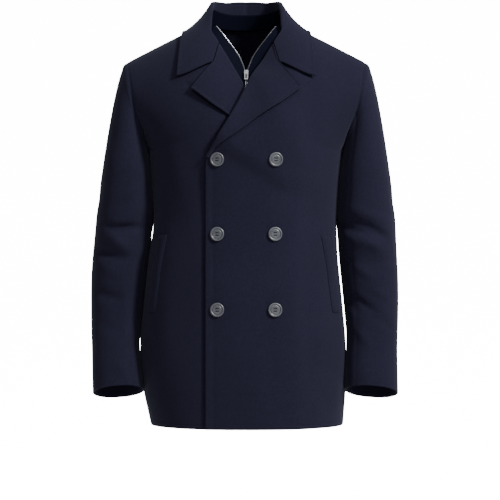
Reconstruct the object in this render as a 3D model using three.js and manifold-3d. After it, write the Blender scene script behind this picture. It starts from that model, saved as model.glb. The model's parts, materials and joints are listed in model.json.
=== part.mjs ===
// Double-breasted pea coat in its worn form, buttoned over its own zip-in bib.
// Millimetres, +Z up, +X to the wearer's left, front towards -Y, origin in the middle of the neck base.
import * as THREE from "three";
import { mergeVertices } from "three/addons/utils/BufferGeometryUtils.js";
import Module from "manifold-3d";

const wasm = await Module();
wasm.setup();

// Cloth
const CLOTH = 2.6;
const BIB_CLOTH = 2;
const SEAM = 0.4;
const LAYER_GAP = 1;
const ROLL = 3;

// Body
const HEM = -767;
const ARMPIT = -231;
const YOKE_DROP = 190;
const CHEST_FRONT = 135;
const CHEST_BACK = 140;
const SQUARENESS = 2.3;
const SIDE_NECK = { x: 80, z: 12 };
const SHOULDER_SLOPE = 0.53;
const SHOULDER_EASE = 50;
const NECK_HOLLOW = { depth: 75, reach: 60 };
const CHEST_SLOPE = 0.2;
const BACK_NECK = 75;

// Fronts and lapels
const OVERLAP = 75;
const CROSSING = -122;
const ROLL_SLOPE = 1.72;
const ROLL_SET_BACK = 6.45;
const ROLL_BOTTOM = { x: -70, z: -243 };
const ROLL_LENGTH = 240.4;
const ROLL_REACH = ROLL + CLOTH / 2;

// Zip and buttons
const ZIP_TOP = 9;
const SLIDER_Z = -89;
const BUTTON_RADIUS = 13.5;
const BUTTON_GAP = 0.8;
const BUTTON_X = 54;
const BUTTON_ROWS = [-258, -399, -542];

// Half width of the body and its depths, hem to armpit: height, half width, front depth, back depth
const TRUNK = through([
  [-767, 187.2, 147, 150],
  [-690, 197.6, 145, 148],
  [-606, 200, 142.5, 145.5],
  [-538, 194, 139, 139],
  [-445, 184, 133.5, 125.5],
  [-409, 180.2, 132, 123],
  [-370, 178, 131, 122],
  [-290, 183, 133, 132],
  [-231, 188, 135, 140],
]);
const [HALF_WIDTH, FRONT_DEPTH, BACK_DEPTH] = [1, 2, 3];

// How far the worn coat leans to the wearer's right: height, shift of its sides
const LEAN = through([
  [-767, -1.4],
  [-690, 4],
  [-606, 6.6],
  [-538, 6.2],
  [-445, 5.8],
  [-409, 3.9],
  [-370, 2.4],
  [-231, 1.2],
  [-60, 0],
]);
const LEAN_SHARE = { middle: 60, side: 175, arm: 200, outerArm: 300, outer: 0.5 };

// Shoulder turn in degrees, 0 at the shoulder seam: width of the section, and the armhole's half width
const YOKE = through([
  [0, 305, 233],
  [15, 298, 230],
  [30, 284, 226],
  [45, 266, 221],
  [60, 236, 213],
  [75, 209, 199],
  [90, 188, 188],
]);
const [SECTION_WIDTH, ARMHOLE_WIDTH] = [1, 2];

// Front neckline above the roll line: height, half width
const NECKLINE = through([
  [-35, 57.6],
  [-20, 66.3],
  [-5, 73],
  [12, 80],
]);
const GORGE_Z = -35;

// Lapel: share of the roll line, width from the roll to the free edge; the widest row is its point
const LAPEL = straight([
  [-0.04, 6],
  [0.05, 7],
  [0.094, 11],
  [0.312, 37.3],
  [0.605, 70.9],
  [0.766, 85.9],
  [0.79, 89.1],
  [0.893, 28.4],
  [0.992, 4.4],
]);
const LAPEL_ROWS = [
  -0.04, 0.04, 0.1, 0.2, 0.312, 0.42, 0.52, 0.605,
  0.69, 0.766, 0.79, 0.825, 0.86, 0.893, 0.94, 0.992,
];
const POINT_LIFT = { height: 2.5, from: 0.5, to: 0.79 };

// Half of the turned-down collar: share; turn, half width and rise of the fold; turn and width of the edge
const LEAF = through([
  [0, -33.4, 0, 52, -46.5, 0],
  [0.15, -28.5, 37, 48, -44, 46],
  [0.3, -19, 57, 42, -37, 82],
  [0.42, -9, 66, 35, -24, 107],
  [0.53, 0, 68.5, 27, -6, 119],
  [0.64, 8.5, 69.5, 14.5, 10, 122],
  [0.76, 16.5, 69.5, 5, 25.5, 125],
  [0.88, 23, 68.2, 0.8, 39.5, 127.3],
  [1, 30.5, 53.9, 0, 52, 129.3],
]);
const [FOLD_TURN, FOLD_X, FOLD_RISE, EDGE_TURN, EDGE_X] = [1, 2, 3, 4, 5];
const LEAF_END = 0.996;
const LEAF_FALL = 1.8;
const NOTCH = { share: 0.353, turn: 6.6, x: -16.3, from: 0.76 };
const LEAF_SAG = 3;
const LEAF_LIFT = 3;
const STAND_END = 0.8;

// Sleeve sections: outer height, outer x, inner height, middle y, half depth, rise of the front
const SLEEVE = through([
  [-706, 295, -698, -34, 50, 15],
  [-680, 295.5, -668, -28, 51.5, 12],
  [-620, 296.8, -610, -12, 54, 6],
  [-550, 299.5, -545, 2, 58, 2],
  [-480, 299.5, -480, 8, 63, 0],
  [-410, 294.8, -415, 8, 68, 0],
  [-340, 289, -350, 5, 72, 0],
  [-262, 278, -285, 2, 74, 0],
]);
const [OUTER_X, INNER_Z, MIDDLE_Y, HALF_DEPTH, FRONT_RISE] = [1, 2, 3, 4, 5];

// Room between a sleeve and the side of the body: height, room
const ROOM = {
  left: straight([
    [-640, 1.2],
    [-606, 2],
    [-590, 3],
    [-540, 3.6],
    [-440, 4],
    [-400, 3.2],
    [-358, 1],
  ]),
  right: straight([
    [-625, 1.2],
    [-606, 2],
    [-590, 1.2],
    [-432, 1],
    [-395, 3],
    [-358, 1],
  ]),
};
// How strongly the cap leaves the armhole and arrives in the arm
const CAP_LEAVE = { under: 9, top: 55, outward: 6 };
const CAP_ARRIVE = { under: 45, top: 190 };
const CAP_END = -262;
const CUFF = -706;
const CAP_STEPS = [0, 0.05, 0.14, 0.3, 0.5, 0.75];
const ARM_STEPS = [
  -262, -300, -335, -355, -370, -384, -398, -414, -434,
  -452, -475, -505, -530, -555, -590, -630, -670, -706,
];

// Elbow and forearm folds: start turn and height, end turn and height, depth, half width; a ridge is negative
const CREASES = {
  left: [
    [-158, -368, -72, -398, 7, 12],
    [-150, -390, -80, -419, -3, 12],
    [-150, -444, -112, -457, 4, 12],
    [-165, -520, -100, -560, 4, 14],
    [-120, -430, -60, -464, 3, 16],
    [150, -395, 70, -374, 5, 15],
    [165, -452, 100, -472, 3.5, 15],
    [-20, -330, 40, -345, 2.5, 20],
  ],
  right: [
    [-128, -379, -66, -391, 6, 11],
    [-75, -402, -97, -430, -3, 11],
    [-104, -443, -40, -430, 5, 12],
    [-98, -527, -52, -512, 4, 13],
    [-155, -350, -112, -370, 3.5, 14],
    [155, -400, 75, -370, 5, 15],
    [165, -452, 110, -470, 3.5, 15],
    [-20, -325, 35, -340, 2.5, 20],
  ],
};
const CREASE_RADIUS = 58;
const CREASE_END = 0.4;

const WOOL = { color: 0x23253a, roughness: 0.95 };
const BIB = { color: 0x14151f, roughness: 0.8 };
const HORN = { color: 0x55575f, roughness: 0.45 };
const METAL = { color: 0xb9bbc2, roughness: 0.3, metalness: 0.9 };

function through(rows) {
  const last = rows.length - 1;
  const slope = (i, c) => {
    const before = rows[Math.max(i - 1, 0)];
    const after = rows[Math.min(i + 1, last)];
    return (after[c] - before[c]) / (after[0] - before[0]);
  };
  return (key, c = 1) => {
    const i = rowOf(rows, key);
    const span = rows[i + 1][0] - rows[i][0];
    const t = clamp((key - rows[i][0]) / span, 0, 1);
    const [a, b] = [rows[i][c], rows[i + 1][c]];
    return hermite(t, a, b, slope(i, c) * span, slope(i + 1, c) * span);
  };
}

function straight(rows) {
  return (key, c = 1) => {
    const i = rowOf(rows, key);
    const t = (key - rows[i][0]) / (rows[i + 1][0] - rows[i][0]);
    return lerp(rows[i][c], rows[i + 1][c], clamp(t, 0, 1));
  };
}

function rowOf(rows, key) {
  const next = rows.findIndex((row) => row[0] > key);
  return clamp((next < 0 ? rows.length : next) - 1, 0, rows.length - 2);
}

function hermite(t, a, b, startSlope, endSlope) {
  const [t2, t3] = [t * t, t * t * t];
  const ends = (2 * t3 - 3 * t2 + 1) * a + (3 * t2 - 2 * t3) * b;
  return ends + (t3 - 2 * t2 + t) * startSlope + (t3 - t2) * endSlope;
}

const { lerp, clamp, degToRad: radians } = THREE.MathUtils;
const smooth = (value, from, to) => {
  const t = clamp((value - from) / (to - from), 0, 1);
  return t * t * (3 - 2 * t);
};
const vector = (x, y, z) => new THREE.Vector3(x, y, z);
const plus = (point, direction, length) => point.clone().addScaledVector(direction, length);

// Lean at a place: none in the middle, whole at the body's sides, less at the outer side of the arms
function leanAt(x, z) {
  const { middle, side, arm, outerArm, outer } = LEAN_SHARE;
  const away = Math.abs(x);
  return LEAN(z) * smooth(away, middle, side) * lerp(1, outer, smooth(away, arm, outerArm));
}

const leaned = (point) => vector(point.x - leanAt(point.x, point.z), point.y, point.z);

// Closed cloth wall over a grid of points, each of which has an inner and an outer place
function wall(rows, columns, at) {
  const points = [];
  const index = [];
  for (let i = 0; i <= rows; i++)
    for (let j = 0; j <= columns; j++) {
      const faces = at(i, j);
      points.push(leaned(faces.inner), leaned(faces.outer));
    }
  const id = (i, j, face) => 2 * (i * (columns + 1) + j) + face;
  const quad = (a, b, c, d) => index.push(a, b, c, a, c, d);
  for (let i = 0; i < rows; i++)
    for (let j = 0; j < columns; j++) {
      quad(id(i, j, 1), id(i, j + 1, 1), id(i + 1, j + 1, 1), id(i + 1, j, 1));
      quad(id(i, j, 0), id(i + 1, j, 0), id(i + 1, j + 1, 0), id(i, j + 1, 0));
    }
  for (let j = 0; j < columns; j++) {
    quad(id(0, j, 0), id(0, j + 1, 0), id(0, j + 1, 1), id(0, j, 1));
    quad(id(rows, j, 1), id(rows, j + 1, 1), id(rows, j + 1, 0), id(rows, j, 0));
  }
  for (let i = 0; i < rows; i++) {
    quad(id(i, 0, 1), id(i + 1, 0, 1), id(i + 1, 0, 0), id(i, 0, 0));
    quad(id(i, columns, 0), id(i + 1, columns, 0), id(i + 1, columns, 1), id(i, columns, 1));
  }
  if (signedVolume(points, index) < 0) index.reverse();
  return new THREE.BufferGeometry().setFromPoints(points).setIndex(index);
}

function signedVolume(points, index) {
  let volume = 0;
  for (let k = 0; k < index.length; k += 3) {
    const [a, b, c] = [points[index[k]], points[index[k + 1]], points[index[k + 2]]];
    volume += a.dot(b.clone().cross(c));
  }
  return volume;
}

// The same wall on the wearer's other side
const mirrored = (at) => (i, j) => {
  const faces = at(i, j);
  const flip = (p) => vector(-p.x, p.y, p.z);
  return { inner: flip(faces.inner), outer: flip(faces.outer) };
};

// Torso surface: angle 0 in front and 90 degrees at the left side; level 0 at the hem, 1 at the armpit,
// 2 at the shoulder seam
function torso(angle, level) {
  const turn = level > 1 ? ((2 - level) * Math.PI) / 2 : Math.PI / 2;
  const height = HEM + (ARMPIT - HEM) * Math.min(level, 1);
  const front = Math.cos(angle) > 0;
  const width = level > 1 ? YOKE(90 * (2 - level), SECTION_WIDTH) : TRUNK(height, HALF_WIDTH);
  const chest = front ? CHEST_FRONT : CHEST_BACK;
  const depth = level > 1 ? chest * Math.sin(turn) : TRUNK(height, front ? FRONT_DEPTH : BACK_DEPTH);
  const x = width * roundPower(Math.sin(angle), 2 / SQUARENESS);
  const y = -depth * roundPower(Math.cos(angle), 2 / SQUARENESS);
  const top = yokeHeight(x, y, turn);
  return vector(x, y, level > 1 ? top : HEM + (top - HEM) * level);
}

const roundPower = (value, power) => Math.sign(value) * Math.abs(value) ** power;

function yokeHeight(x, y, turn) {
  const beyondNeck = Math.hypot(x, SHOULDER_EASE) - Math.hypot(SIDE_NECK.x, SHOULDER_EASE);
  const ridge = SIDE_NECK.z - SHOULDER_SLOPE * beyondNeck;
  const drop = YOKE_DROP * (1 - Math.cos(turn));
  if (y > 0) return ridge - drop;
  const hollow = NECK_HOLLOW.depth * Math.exp(-((x / NECK_HOLLOW.reach) ** 2));
  const opening = Math.sin(Math.min(2 * turn, Math.PI / 2)) ** 2;
  return ridge - drop - hollow * opening + CHEST_SLOPE * y * Math.sin(turn);
}

function torsoNormal(angle, level) {
  const step = 0.004;
  const across = torso(angle + step, level).sub(torso(angle - step, level));
  const up = torso(angle, Math.min(level + step, 2)).sub(torso(angle, Math.max(level - step, 0)));
  return across.cross(up).normalize();
}

// Cloth on the torso, its outer face lifted from the torso surface
function onTorso(angle, level, lift = 0, thickness = CLOTH) {
  const point = torso(angle, level);
  const normal = torsoNormal(angle, level);
  return { inner: plus(point, normal, lift - thickness), outer: plus(point, normal, lift) };
}

function bisect(low, high, isBelow) {
  for (let k = 0; k < 40; k++) {
    const middle = (low + high) / 2;
    if (isBelow(middle)) low = middle;
    else high = middle;
  }
  return (low + high) / 2;
}

// Torso angle at which a section reaches a distance from the middle plane
function angleAt(x, level) {
  const height = HEM + (ARMPIT - HEM) * Math.min(level, 1);
  const width = level > 1 ? YOKE(90 * (2 - level), SECTION_WIDTH) : TRUNK(height, HALF_WIDTH);
  return Math.asin(Math.min(1, roundPower(Math.abs(x) / width, SQUARENESS / 2))) * Math.sign(x);
}

// Angle and level of the front surface at a place seen from the front
function frontAt(x, z) {
  const level = bisect(0, 2, (value) => torso(angleAt(x, value), value).z < z);
  return [angleAt(x, level), level];
}

const armholeAngle = (level) => angleAt(YOKE(90 * (2 - level), ARMHOLE_WIDTH), level);
const rollX = (z) => (z - CROSSING) / ROLL_SLOPE;
const seamAngle = (depth) => Math.acos(roundPower(SEAM / 2 / depth, SQUARENESS / 2));

// Free edge of the left front, then its roll line, then the neckline
function frontEdgeX(z) {
  if (z > GORGE_Z) return NECKLINE(z);
  return Math.max(-OVERLAP, rollX(z) + ROLL_SET_BACK);
}

// How far the left front is lifted by the right front and the right lapel that lie under it
const FRONT_EASE = { from: OVERLAP + 15, to: OVERLAP + 52, low: CROSSING, high: -66 };
const LAPEL_EASE = { from: 24, to: 90, low: -110, high: -45, below: 44, start: 86 };
const LAPEL_EDGE = { height: -197, slope: -0.66 };

function leftLift(x, z) {
  const below = 1 - smooth(z, FRONT_EASE.low, FRONT_EASE.high);
  const front = below * (1 - smooth(x, FRONT_EASE.from, FRONT_EASE.to));
  const roll = -rollX(Math.max(z, ROLL_BOTTOM.z));
  const edge = LAPEL_EDGE.height + LAPEL_EDGE.slope * Math.min(x, -ROLL_BOTTOM.x);
  const across = 1 - smooth(x, roll + LAPEL_EASE.from, roll + LAPEL_EASE.to);
  const above = 1 - smooth(z, LAPEL_EASE.low, LAPEL_EASE.high);
  const lower = smooth(z, edge - LAPEL_EASE.start, edge - LAPEL_EASE.below);
  return (CLOTH + LAYER_GAP) * front + (2 * ROLL + LAYER_GAP) * across * above * lower;
}

// A front panel of the wearer's left side
const FRONT_LEVELS = [
  0, 0.1, 0.2, 0.3, 0.4, 0.5, 0.6, 0.66, 0.7, 0.74, 0.78, 0.82, 0.86, 0.895, 0.93, 0.965,
  1, 1.039, 1.083, 1.156, 1.25, 1.34, 1.4, 1.45, 1.5, 1.56, 1.61, 1.665, 1.75, 1.84, 1.92, 2,
];
const FRONT_COLUMNS = 13;

const noLift = () => 0;
const shoulderGap = SEAM / CHEST_FRONT / Math.PI;

// Torso angle of the side seam or, above the armpit, of the armhole
function sideAngle(level, chest) {
  const armholes = level < 1 ? Math.PI / 2 : armholeAngle(level);
  return Math.min(armholes, seamAngle(chest));
}

function frontPanel(lift) {
  return (i, j) => {
    const level = Math.min(FRONT_LEVELS[i], 2 - shoulderGap);
    const inner = bisect(-Math.PI / 2, Math.PI / 2, (angle) => {
      const point = torso(angle, level);
      return point.x < frontEdgeX(point.z);
    });
    const angle = lerp(inner, sideAngle(level, CHEST_FRONT), j / FRONT_COLUMNS);
    const point = torso(angle, level);
    return onTorso(angle, level, lift(point.x, point.z));
  };
}

// Half of the back, from the centre seam to the side seam and armhole, round the neckline at the top
const BACK_LEVELS = [
  0, 0.1, 0.2, 0.3, 0.4, 0.5, 0.6, 0.66, 0.7, 0.74, 0.78, 0.82, 0.86, 0.895, 0.93, 0.965,
  1, 1.039, 1.083, 1.156, 1.27, 1.4, 1.52, 1.6, 1.64, 1.665, 1.7, 1.75, 1.82, 1.91, 2,
];
const BACK_COLUMNS = 9;

function backNeckX(level) {
  const y = CHEST_BACK * Math.sin(((2 - level) * Math.PI) / 2);
  const neck = level > 1 && y < BACK_NECK ? SIDE_NECK.x * Math.sqrt(1 - (y / BACK_NECK) ** 2) : 0;
  return Math.max(SEAM / 2, neck);
}

function backPanel(i, j) {
  const level = Math.min(BACK_LEVELS[i], 2 - shoulderGap);
  const inner = angleAt(backNeckX(level), level);
  return onTorso(Math.PI - lerp(inner, sideAngle(level, CHEST_BACK), j / BACK_COLUMNS), level);
}

// Point of a lapel seen from the front: share of the roll line, distance from the roll's edge
function lapelFace(share, reach, bend, rise, lift) {
  const run = share * ROLL_LENGTH;
  const slant = Math.hypot(1, ROLL_SLOPE);
  const [dx, dz] = [1 / slant, ROLL_SLOPE / slant];
  const [x, z] = [ROLL_BOTTOM.x + dx * run, ROLL_BOTTOM.z + dz * run];
  const at = (width) => frontAt(x + dz * width, z - dx * width);
  const [angle, level] = at(reach);
  const point = torso(angle, level);
  const normal = torsoNormal(angle, level);
  const away = torso(...at(reach - 1)).sub(torso(...at(reach + 1))).normalize();
  const middle = plus(point, normal, rise + lift(point.x, point.z));
  const out = away.multiplyScalar(Math.sin(bend)).addScaledVector(normal, -Math.cos(bend));
  return { inner: plus(middle, out, -CLOTH / 2), outer: plus(middle, out, CLOTH / 2) };
}

const ROLL_BENDS = [0, 45, 90, 135, 180];
const LAPEL_SPREAD = [0.2, 0.4, 0.6, 0.8, 1];
const LAPEL_COLUMNS = ROLL_BENDS.length + LAPEL_SPREAD.length - 1;

function lapelPanel(lift) {
  return (i, j) => {
    const share = LAPEL_ROWS[i];
    const bend = radians(ROLL_BENDS[Math.min(j, ROLL_BENDS.length - 1)]);
    if (j < ROLL_BENDS.length) {
      const rise = ROLL * (1 - Math.cos(bend)) - CLOTH / 2;
      return lapelFace(share, ROLL_REACH - ROLL * Math.sin(bend), bend, rise, lift);
    }
    const v = LAPEL_SPREAD[j - ROLL_BENDS.length];
    const reach = lerp(ROLL_REACH, LAPEL(share), v);
    const lifted = POINT_LIFT.height * v * smooth(share, POINT_LIFT.from, POINT_LIFT.to);
    const rise = lerp(2 * ROLL - CLOTH / 2, CLOTH / 2 + 3 * LAYER_GAP, smooth(v, 0, 1)) + lifted;
    return lapelFace(share, reach, Math.PI, rise, lift);
  };
}

// Shoulder surface at a distance from the middle plane; a negative turn is behind the shoulder seam
function shoulderAt(x, turn) {
  const level = 2 - Math.abs(turn) / 90;
  const angle = angleAt(x, level);
  return turn < 0 ? [Math.PI - angle, level] : [angle, level];
}

// Middle of the collar leaf's cloth: share from the centre back to the front end, fall from fold to edge
function leafMiddle(share, fall) {
  const end = smooth(share, NOTCH.from, 1);
  const bow = end * Math.min(fall / NOTCH.share, (1 - fall) / (1 - NOTCH.share));
  const beyond = Math.max(0, (fall - NOTCH.share) / (1 - NOTCH.share));
  const sag = end * LEAF_SAG * 4 * beyond * (1 - beyond);
  const turn = lerp(LEAF(share, FOLD_TURN), LEAF(share, EDGE_TURN), fall) + bow * NOTCH.turn + sag;
  const x = lerp(LEAF(share, FOLD_X), LEAF(share, EDGE_X), fall) + bow * NOTCH.x;
  const place = shoulderAt(x, turn);
  const rise = lerp(2 * ROLL - CLOTH / 2, CLOTH / 2 + 2 * LAYER_GAP, fall) + end * fall * LEAF_LIFT;
  const point = plus(torso(...place), torsoNormal(...place), rise);
  point.z += LEAF(share, FOLD_RISE) * (1 - fall) ** LEAF_FALL;
  return point;
}

function leafFrame(share, fall) {
  const step = 0.01;
  const before = leafMiddle(Math.max(share - step, -step), fall);
  const above = leafMiddle(share, Math.max(fall - step, 0));
  const along = leafMiddle(Math.min(share + step, 1), fall).sub(before);
  const down = leafMiddle(share, Math.min(fall + step, 1)).sub(above);
  return { normal: along.cross(down).normalize(), down: down.normalize() };
}

// Fold of the collar: the leaf turns over in a half roll from the top of the stand
function leafRoll(share, bend) {
  const { normal, down } = leafFrame(share, 0);
  const centre = plus(leafMiddle(share, 0), normal, -ROLL);
  const out = normal.clone().multiplyScalar(-Math.cos(bend)).addScaledVector(down, -Math.sin(bend));
  return { middle: plus(centre, out, ROLL), out };
}

const LEAF_FALLS = [0.12, 0.24, NOTCH.share, 0.52, 0.68, 0.84, 1];
const LEAF_SHARES = [0, 0.09, 0.18, 0.28, 0.37, 0.45, 0.53, 0.6, 0.68, 0.76, 0.84, 0.92, LEAF_END];
const LEAF_COLUMNS = ROLL_BENDS.length + LEAF_FALLS.length - 1;

function leafHalf(i, j) {
  const share = LEAF_SHARES[i];
  const roll = j < ROLL_BENDS.length;
  const fall = roll ? 0 : LEAF_FALLS[j - ROLL_BENDS.length];
  const { middle, out } = roll
    ? leafRoll(share, radians(ROLL_BENDS[j]))
    : { middle: leafMiddle(share, fall), out: leafFrame(share, fall).normal };
  return { inner: plus(middle, out, -CLOTH / 2), outer: plus(middle, out, CLOTH / 2) };
}

// A grid that runs from one side of the neck round the back to the other
function bothSides(half, count) {
  return (i, j) => (i < count ? mirrored(half)(count - i, j) : half(i - count, j));
}

const NECK_TURN = through([
  [0, -32.4],
  [0.15, -29.5],
  [0.3, -22],
  [0.42, -12.5],
  [0.53, -3],
  [0.64, 6],
  [0.76, 14],
  [0.8, 17],
]);
const STAND_SHARES = [0, 0.08, 0.16, 0.25, 0.34, 0.43, 0.53, 0.62, 0.71, STAND_END];
const STAND_COLUMNS = 3;
const STAND_FOOT = 1.7;

const BACK_NECK_TURN = -32;

function neckPoint(turn) {
  if (turn < BACK_NECK_TURN) return shoulderAt(0, turn);
  const level = 2 - Math.abs(turn) / 90;
  if (turn < 0) return shoulderAt(backNeckX(level), turn);
  const above = (z) => torso(angleAt(NECKLINE(z), level), level).z > z;
  return shoulderAt(NECKLINE(bisect(GORGE_Z, SIDE_NECK.z, above)), turn);
}

function standHalf(i, j) {
  const share = STAND_SHARES[i];
  const turn = NECK_TURN(share);
  const seat = neckPoint(turn);
  const foot = plus(torso(...seat), torsoNormal(...seat), -CLOTH / 2);
  const { normal, down } = leafFrame(share, 0);
  const top = plus(leafRoll(share, 0).middle, down, 2 * SEAM);
  const up = top.clone().sub(foot).normalize();
  const base = plus(foot, up, STAND_FOOT);
  const middle = base.lerp(top, j / STAND_COLUMNS);
  const out = normal.addScaledVector(up, -normal.dot(up)).normalize();
  return { inner: plus(middle, out, -CLOTH / 2), outer: plus(middle, out, CLOTH / 2) };
}

// Sleeve of the left arm: turn 0 on its outer side, -90 degrees in front, 180 under the arm
function armhole(turn) {
  const level = 2 - Math.abs(turn) / Math.PI;
  const angle = armholeAngle(level);
  return [turn < 0 ? angle : Math.PI - angle, level];
}

const innerX = (arm, z) => TRUNK(SLEEVE(z, INNER_Z), HALF_WIDTH) + arm.room(SLEEVE(z, INNER_Z));

function sleeveRing(arm, turn, z) {
  const outer = vector(SLEEVE(z, OUTER_X), SLEEVE(z, MIDDLE_Y), z);
  const inner = vector(innerX(arm, z), SLEEVE(z, MIDDLE_Y), SLEEVE(z, INNER_Z));
  const point = outer.clone().lerp(inner, (1 - Math.cos(turn)) / 2);
  point.y += SLEEVE(z, HALF_DEPTH) * Math.sin(turn);
  point.z -= SLEEVE(z, FRONT_RISE) * Math.sin(turn);
  return point;
}

const TURN_STEP = 0.01;

// The cap leaves the armhole along the shoulder and turns down into the arm
function sleeveCap(arm, turn, t) {
  const place = armhole(turn);
  const rim = torso(...place);
  const side = turn + TURN_STEP > Math.PI ? -1 : 1;
  const along = torso(...armhole(turn + side * TURN_STEP)).sub(rim).multiplyScalar(side);
  const leave = along.cross(torsoNormal(...place)).normalize();
  const top = (1 + Math.cos(turn)) / 2;
  const start = plus(rim, leave, 2 * SEAM);
  const end = sleeveRing(arm, turn, CAP_END);
  const down = sleeveRing(arm, turn, ARM_STEPS[1]).sub(end).normalize();
  leave.multiplyScalar(lerp(CAP_LEAVE.under, CAP_LEAVE.top, top));
  leave.x += CAP_LEAVE.outward * (1 - top);
  down.multiplyScalar(lerp(CAP_ARRIVE.under, CAP_ARRIVE.top, top));
  const axis = (c) => hermite(t, start[c], end[c], leave[c], down[c]);
  return vector(axis("x"), axis("y"), axis("z"));
}

function creaseDepth(creases, turn, z) {
  let depth = 0;
  for (const [turn1, z1, turn2, z2, deep, width] of creases) {
    const [a, b] = [radians(turn1) * CREASE_RADIUS, radians(turn2) * CREASE_RADIUS];
    const [du, dz] = [b - a, z2 - z1];
    const u = turn * CREASE_RADIUS;
    const t = clamp(((u - a) * du + (z - z1) * dz) / (du * du + dz * dz), 0, 1);
    const far = Math.hypot(u - a - t * du, z - z1 - t * dz) / width;
    depth += deep * Math.exp(-far * far) * lerp(CREASE_END, 1, Math.sin(Math.PI * t));
  }
  return depth;
}

// Station 0 to 1 is the cap, 1 to 2 is the arm
function sleeveOuter(arm, turn, station) {
  if (station <= 1) return sleeveCap(arm, turn, station);
  const z = lerp(CAP_END, CUFF, station - 1);
  const point = sleeveRing(arm, turn, z);
  const middle = vector((SLEEVE(z, OUTER_X) + innerX(arm, z)) / 2, SLEEVE(z, MIDDLE_Y), point.z);
  return plus(point, middle.sub(point).normalize(), creaseDepth(arm.creases, turn, z));
}

function sleeveFace(arm, turn, station) {
  const point = sleeveOuter(arm, turn, station);
  const beside = (step) => sleeveOuter(arm, clamp(turn + step, -Math.PI, Math.PI), station);
  const below = (step) => sleeveOuter(arm, turn, clamp(station + step, 0, 2));
  const around = beside(2 * TURN_STEP).sub(beside(-2 * TURN_STEP));
  const along = below(TURN_STEP / 2).sub(below(-TURN_STEP / 2));
  const normal = station === 0 ? torsoNormal(...armhole(turn)) : along.cross(around).normalize();
  return { inner: plus(point, normal, -CLOTH), outer: point };
}

const SLEEVE_STATIONS = [...CAP_STEPS, ...ARM_STEPS.map((z) => 1 + (z - CAP_END) / (CUFF - CAP_END))];

const TOP_TURNS = [-125, -105, -82, -58, -35, -15, 0, 15, 35, 58, 80, 100, 115];
const UNDER_TURNS = [115, 134, 152, 165, 173, 180, 187, 195, 208, 221, 235];
const TURN_MARGIN = 0.35;
const ARMS = {
  left: { creases: CREASES.left, room: ROOM.left },
  right: { creases: CREASES.right, room: ROOM.right },
};

function sleevePanel(arm, turns) {
  return (i, j) => {
    const ends = (j === 0) - (j === turns.length - 1);
    const turn = radians(turns[j] + TURN_MARGIN * ends);
    return sleeveFace(arm, turn > Math.PI ? turn - 2 * Math.PI : turn, SLEEVE_STATIONS[i]);
  };
}

// Zip-in bib under the fronts: its front edges part above the slider
const BIB_HEIGHTS = [-175, -150, -125, -105, -90, -78, -66, -54, -42, -30, -18, -6, ZIP_TOP - 1];
const BIB_COLUMNS = 5;
const BIB_SHADE = 2.5;
const BIB_WIDTH = 24;
const BIB_REACH = 77;
const ZIP_HALF_GAP = 0.3;
const ZIP_OPENING = straight([
  [-89, ZIP_HALF_GAP],
  [-76, 4.8],
  [-60, 10.6],
  [-49, 16.6],
  [-36, 25],
  [-22, 35.5],
  [-4, 48.5],
  [9, 59.5],
]);

function bibHalf(i, j) {
  const z = BIB_HEIGHTS[i];
  const outer = Math.min(Math.max(rollX(z), 0) + BIB_WIDTH, BIB_REACH);
  const x = lerp(ZIP_OPENING(z), outer, j / BIB_COLUMNS);
  return onTorso(...frontAt(x, z), -CLOTH - BIB_SHADE, BIB_CLOTH);
}

// Band of the bib round the neck, inside the stand
const BAND_TURNS = [-32.4, -31, -28, -24, -19, -14, -8, -2, 3, 8];
const BAND = { inset: 6, height: 27, least: 2, lean: 0.35, fullTurn: -8, lowTurn: 9 };
const BAND_COLUMNS = 2;

function bandHalf(i, j) {
  const turn = BAND_TURNS[i];
  const seat = torso(...neckPoint(turn));
  const out = vector(seat.x, seat.y, 0).normalize();
  const rise = BAND.height * (1 - smooth(turn, BAND.fullTurn, BAND.lowTurn)) + BAND.least;
  const base = plus(seat, out, -BAND.inset);
  const up = vector(0, 0, 1).addScaledVector(out, -BAND.lean);
  const middle = plus(base, up, (rise * j) / BAND_COLUMNS);
  return { inner: plus(middle, out, -BIB_CLOTH / 2), outer: plus(middle, out, BIB_CLOTH / 2) };
}

// Slanted welt over a side pocket, sewn on the front along its forward edge
const WELT_HEIGHTS = [-400, -430, -460, -490, -520, -547];
const WELT_EDGE = through([
  [-547, 165],
  [-505, 159],
  [-455, 153],
  [-400, 142.5],
]);
const WELT_WIDTH = 25;
const WELT_COLUMNS = 3;
const WELT_LIFT = 0.8;
const WELT_OUTWARD = { left: 0, right: 9 };

// The lean is taken off beforehand, so that the welt lies where its table says
function weltFace(outward, side) {
  return (i, j) => {
    const z = WELT_HEIGHTS[i];
    const x = WELT_EDGE(z) + outward;
    const [angle, level] = frontAt(x + side * leanAt(x, z), z);
    const perRadian = torso(angle + TURN_STEP, level).distanceTo(torso(angle, level)) / TURN_STEP;
    const across = (WELT_WIDTH * j) / WELT_COLUMNS / perRadian;
    return onTorso(angle + across, level, WELT_LIFT + CLOTH);
  };
}

// Round four-hole button with a raised rim: radius and height of its profile
const BUTTON_PROFILE = [
  [0, 0],
  [0.9, 0],
  [1, 1.2],
  [0.93, 3.6],
  [0.78, 3.6],
  [0.7, 2.4],
  [0, 2.4],
];
const BUTTON_SIDES = 16;

function button(x, z) {
  const place = frontAt(x, z);
  const normal = torsoNormal(...place);
  const profile = BUTTON_PROFILE.map(([share, height]) => new THREE.Vector2(share * BUTTON_RADIUS, height));
  const geometry = new THREE.LatheGeometry(profile, BUTTON_SIDES);
  const turn = new THREE.Quaternion().setFromUnitVectors(vector(0, 1, 0), normal);
  return { geometry, turn, seat: plus(torso(...place), normal, leftLift(x, z) + BUTTON_GAP) };
}

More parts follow.
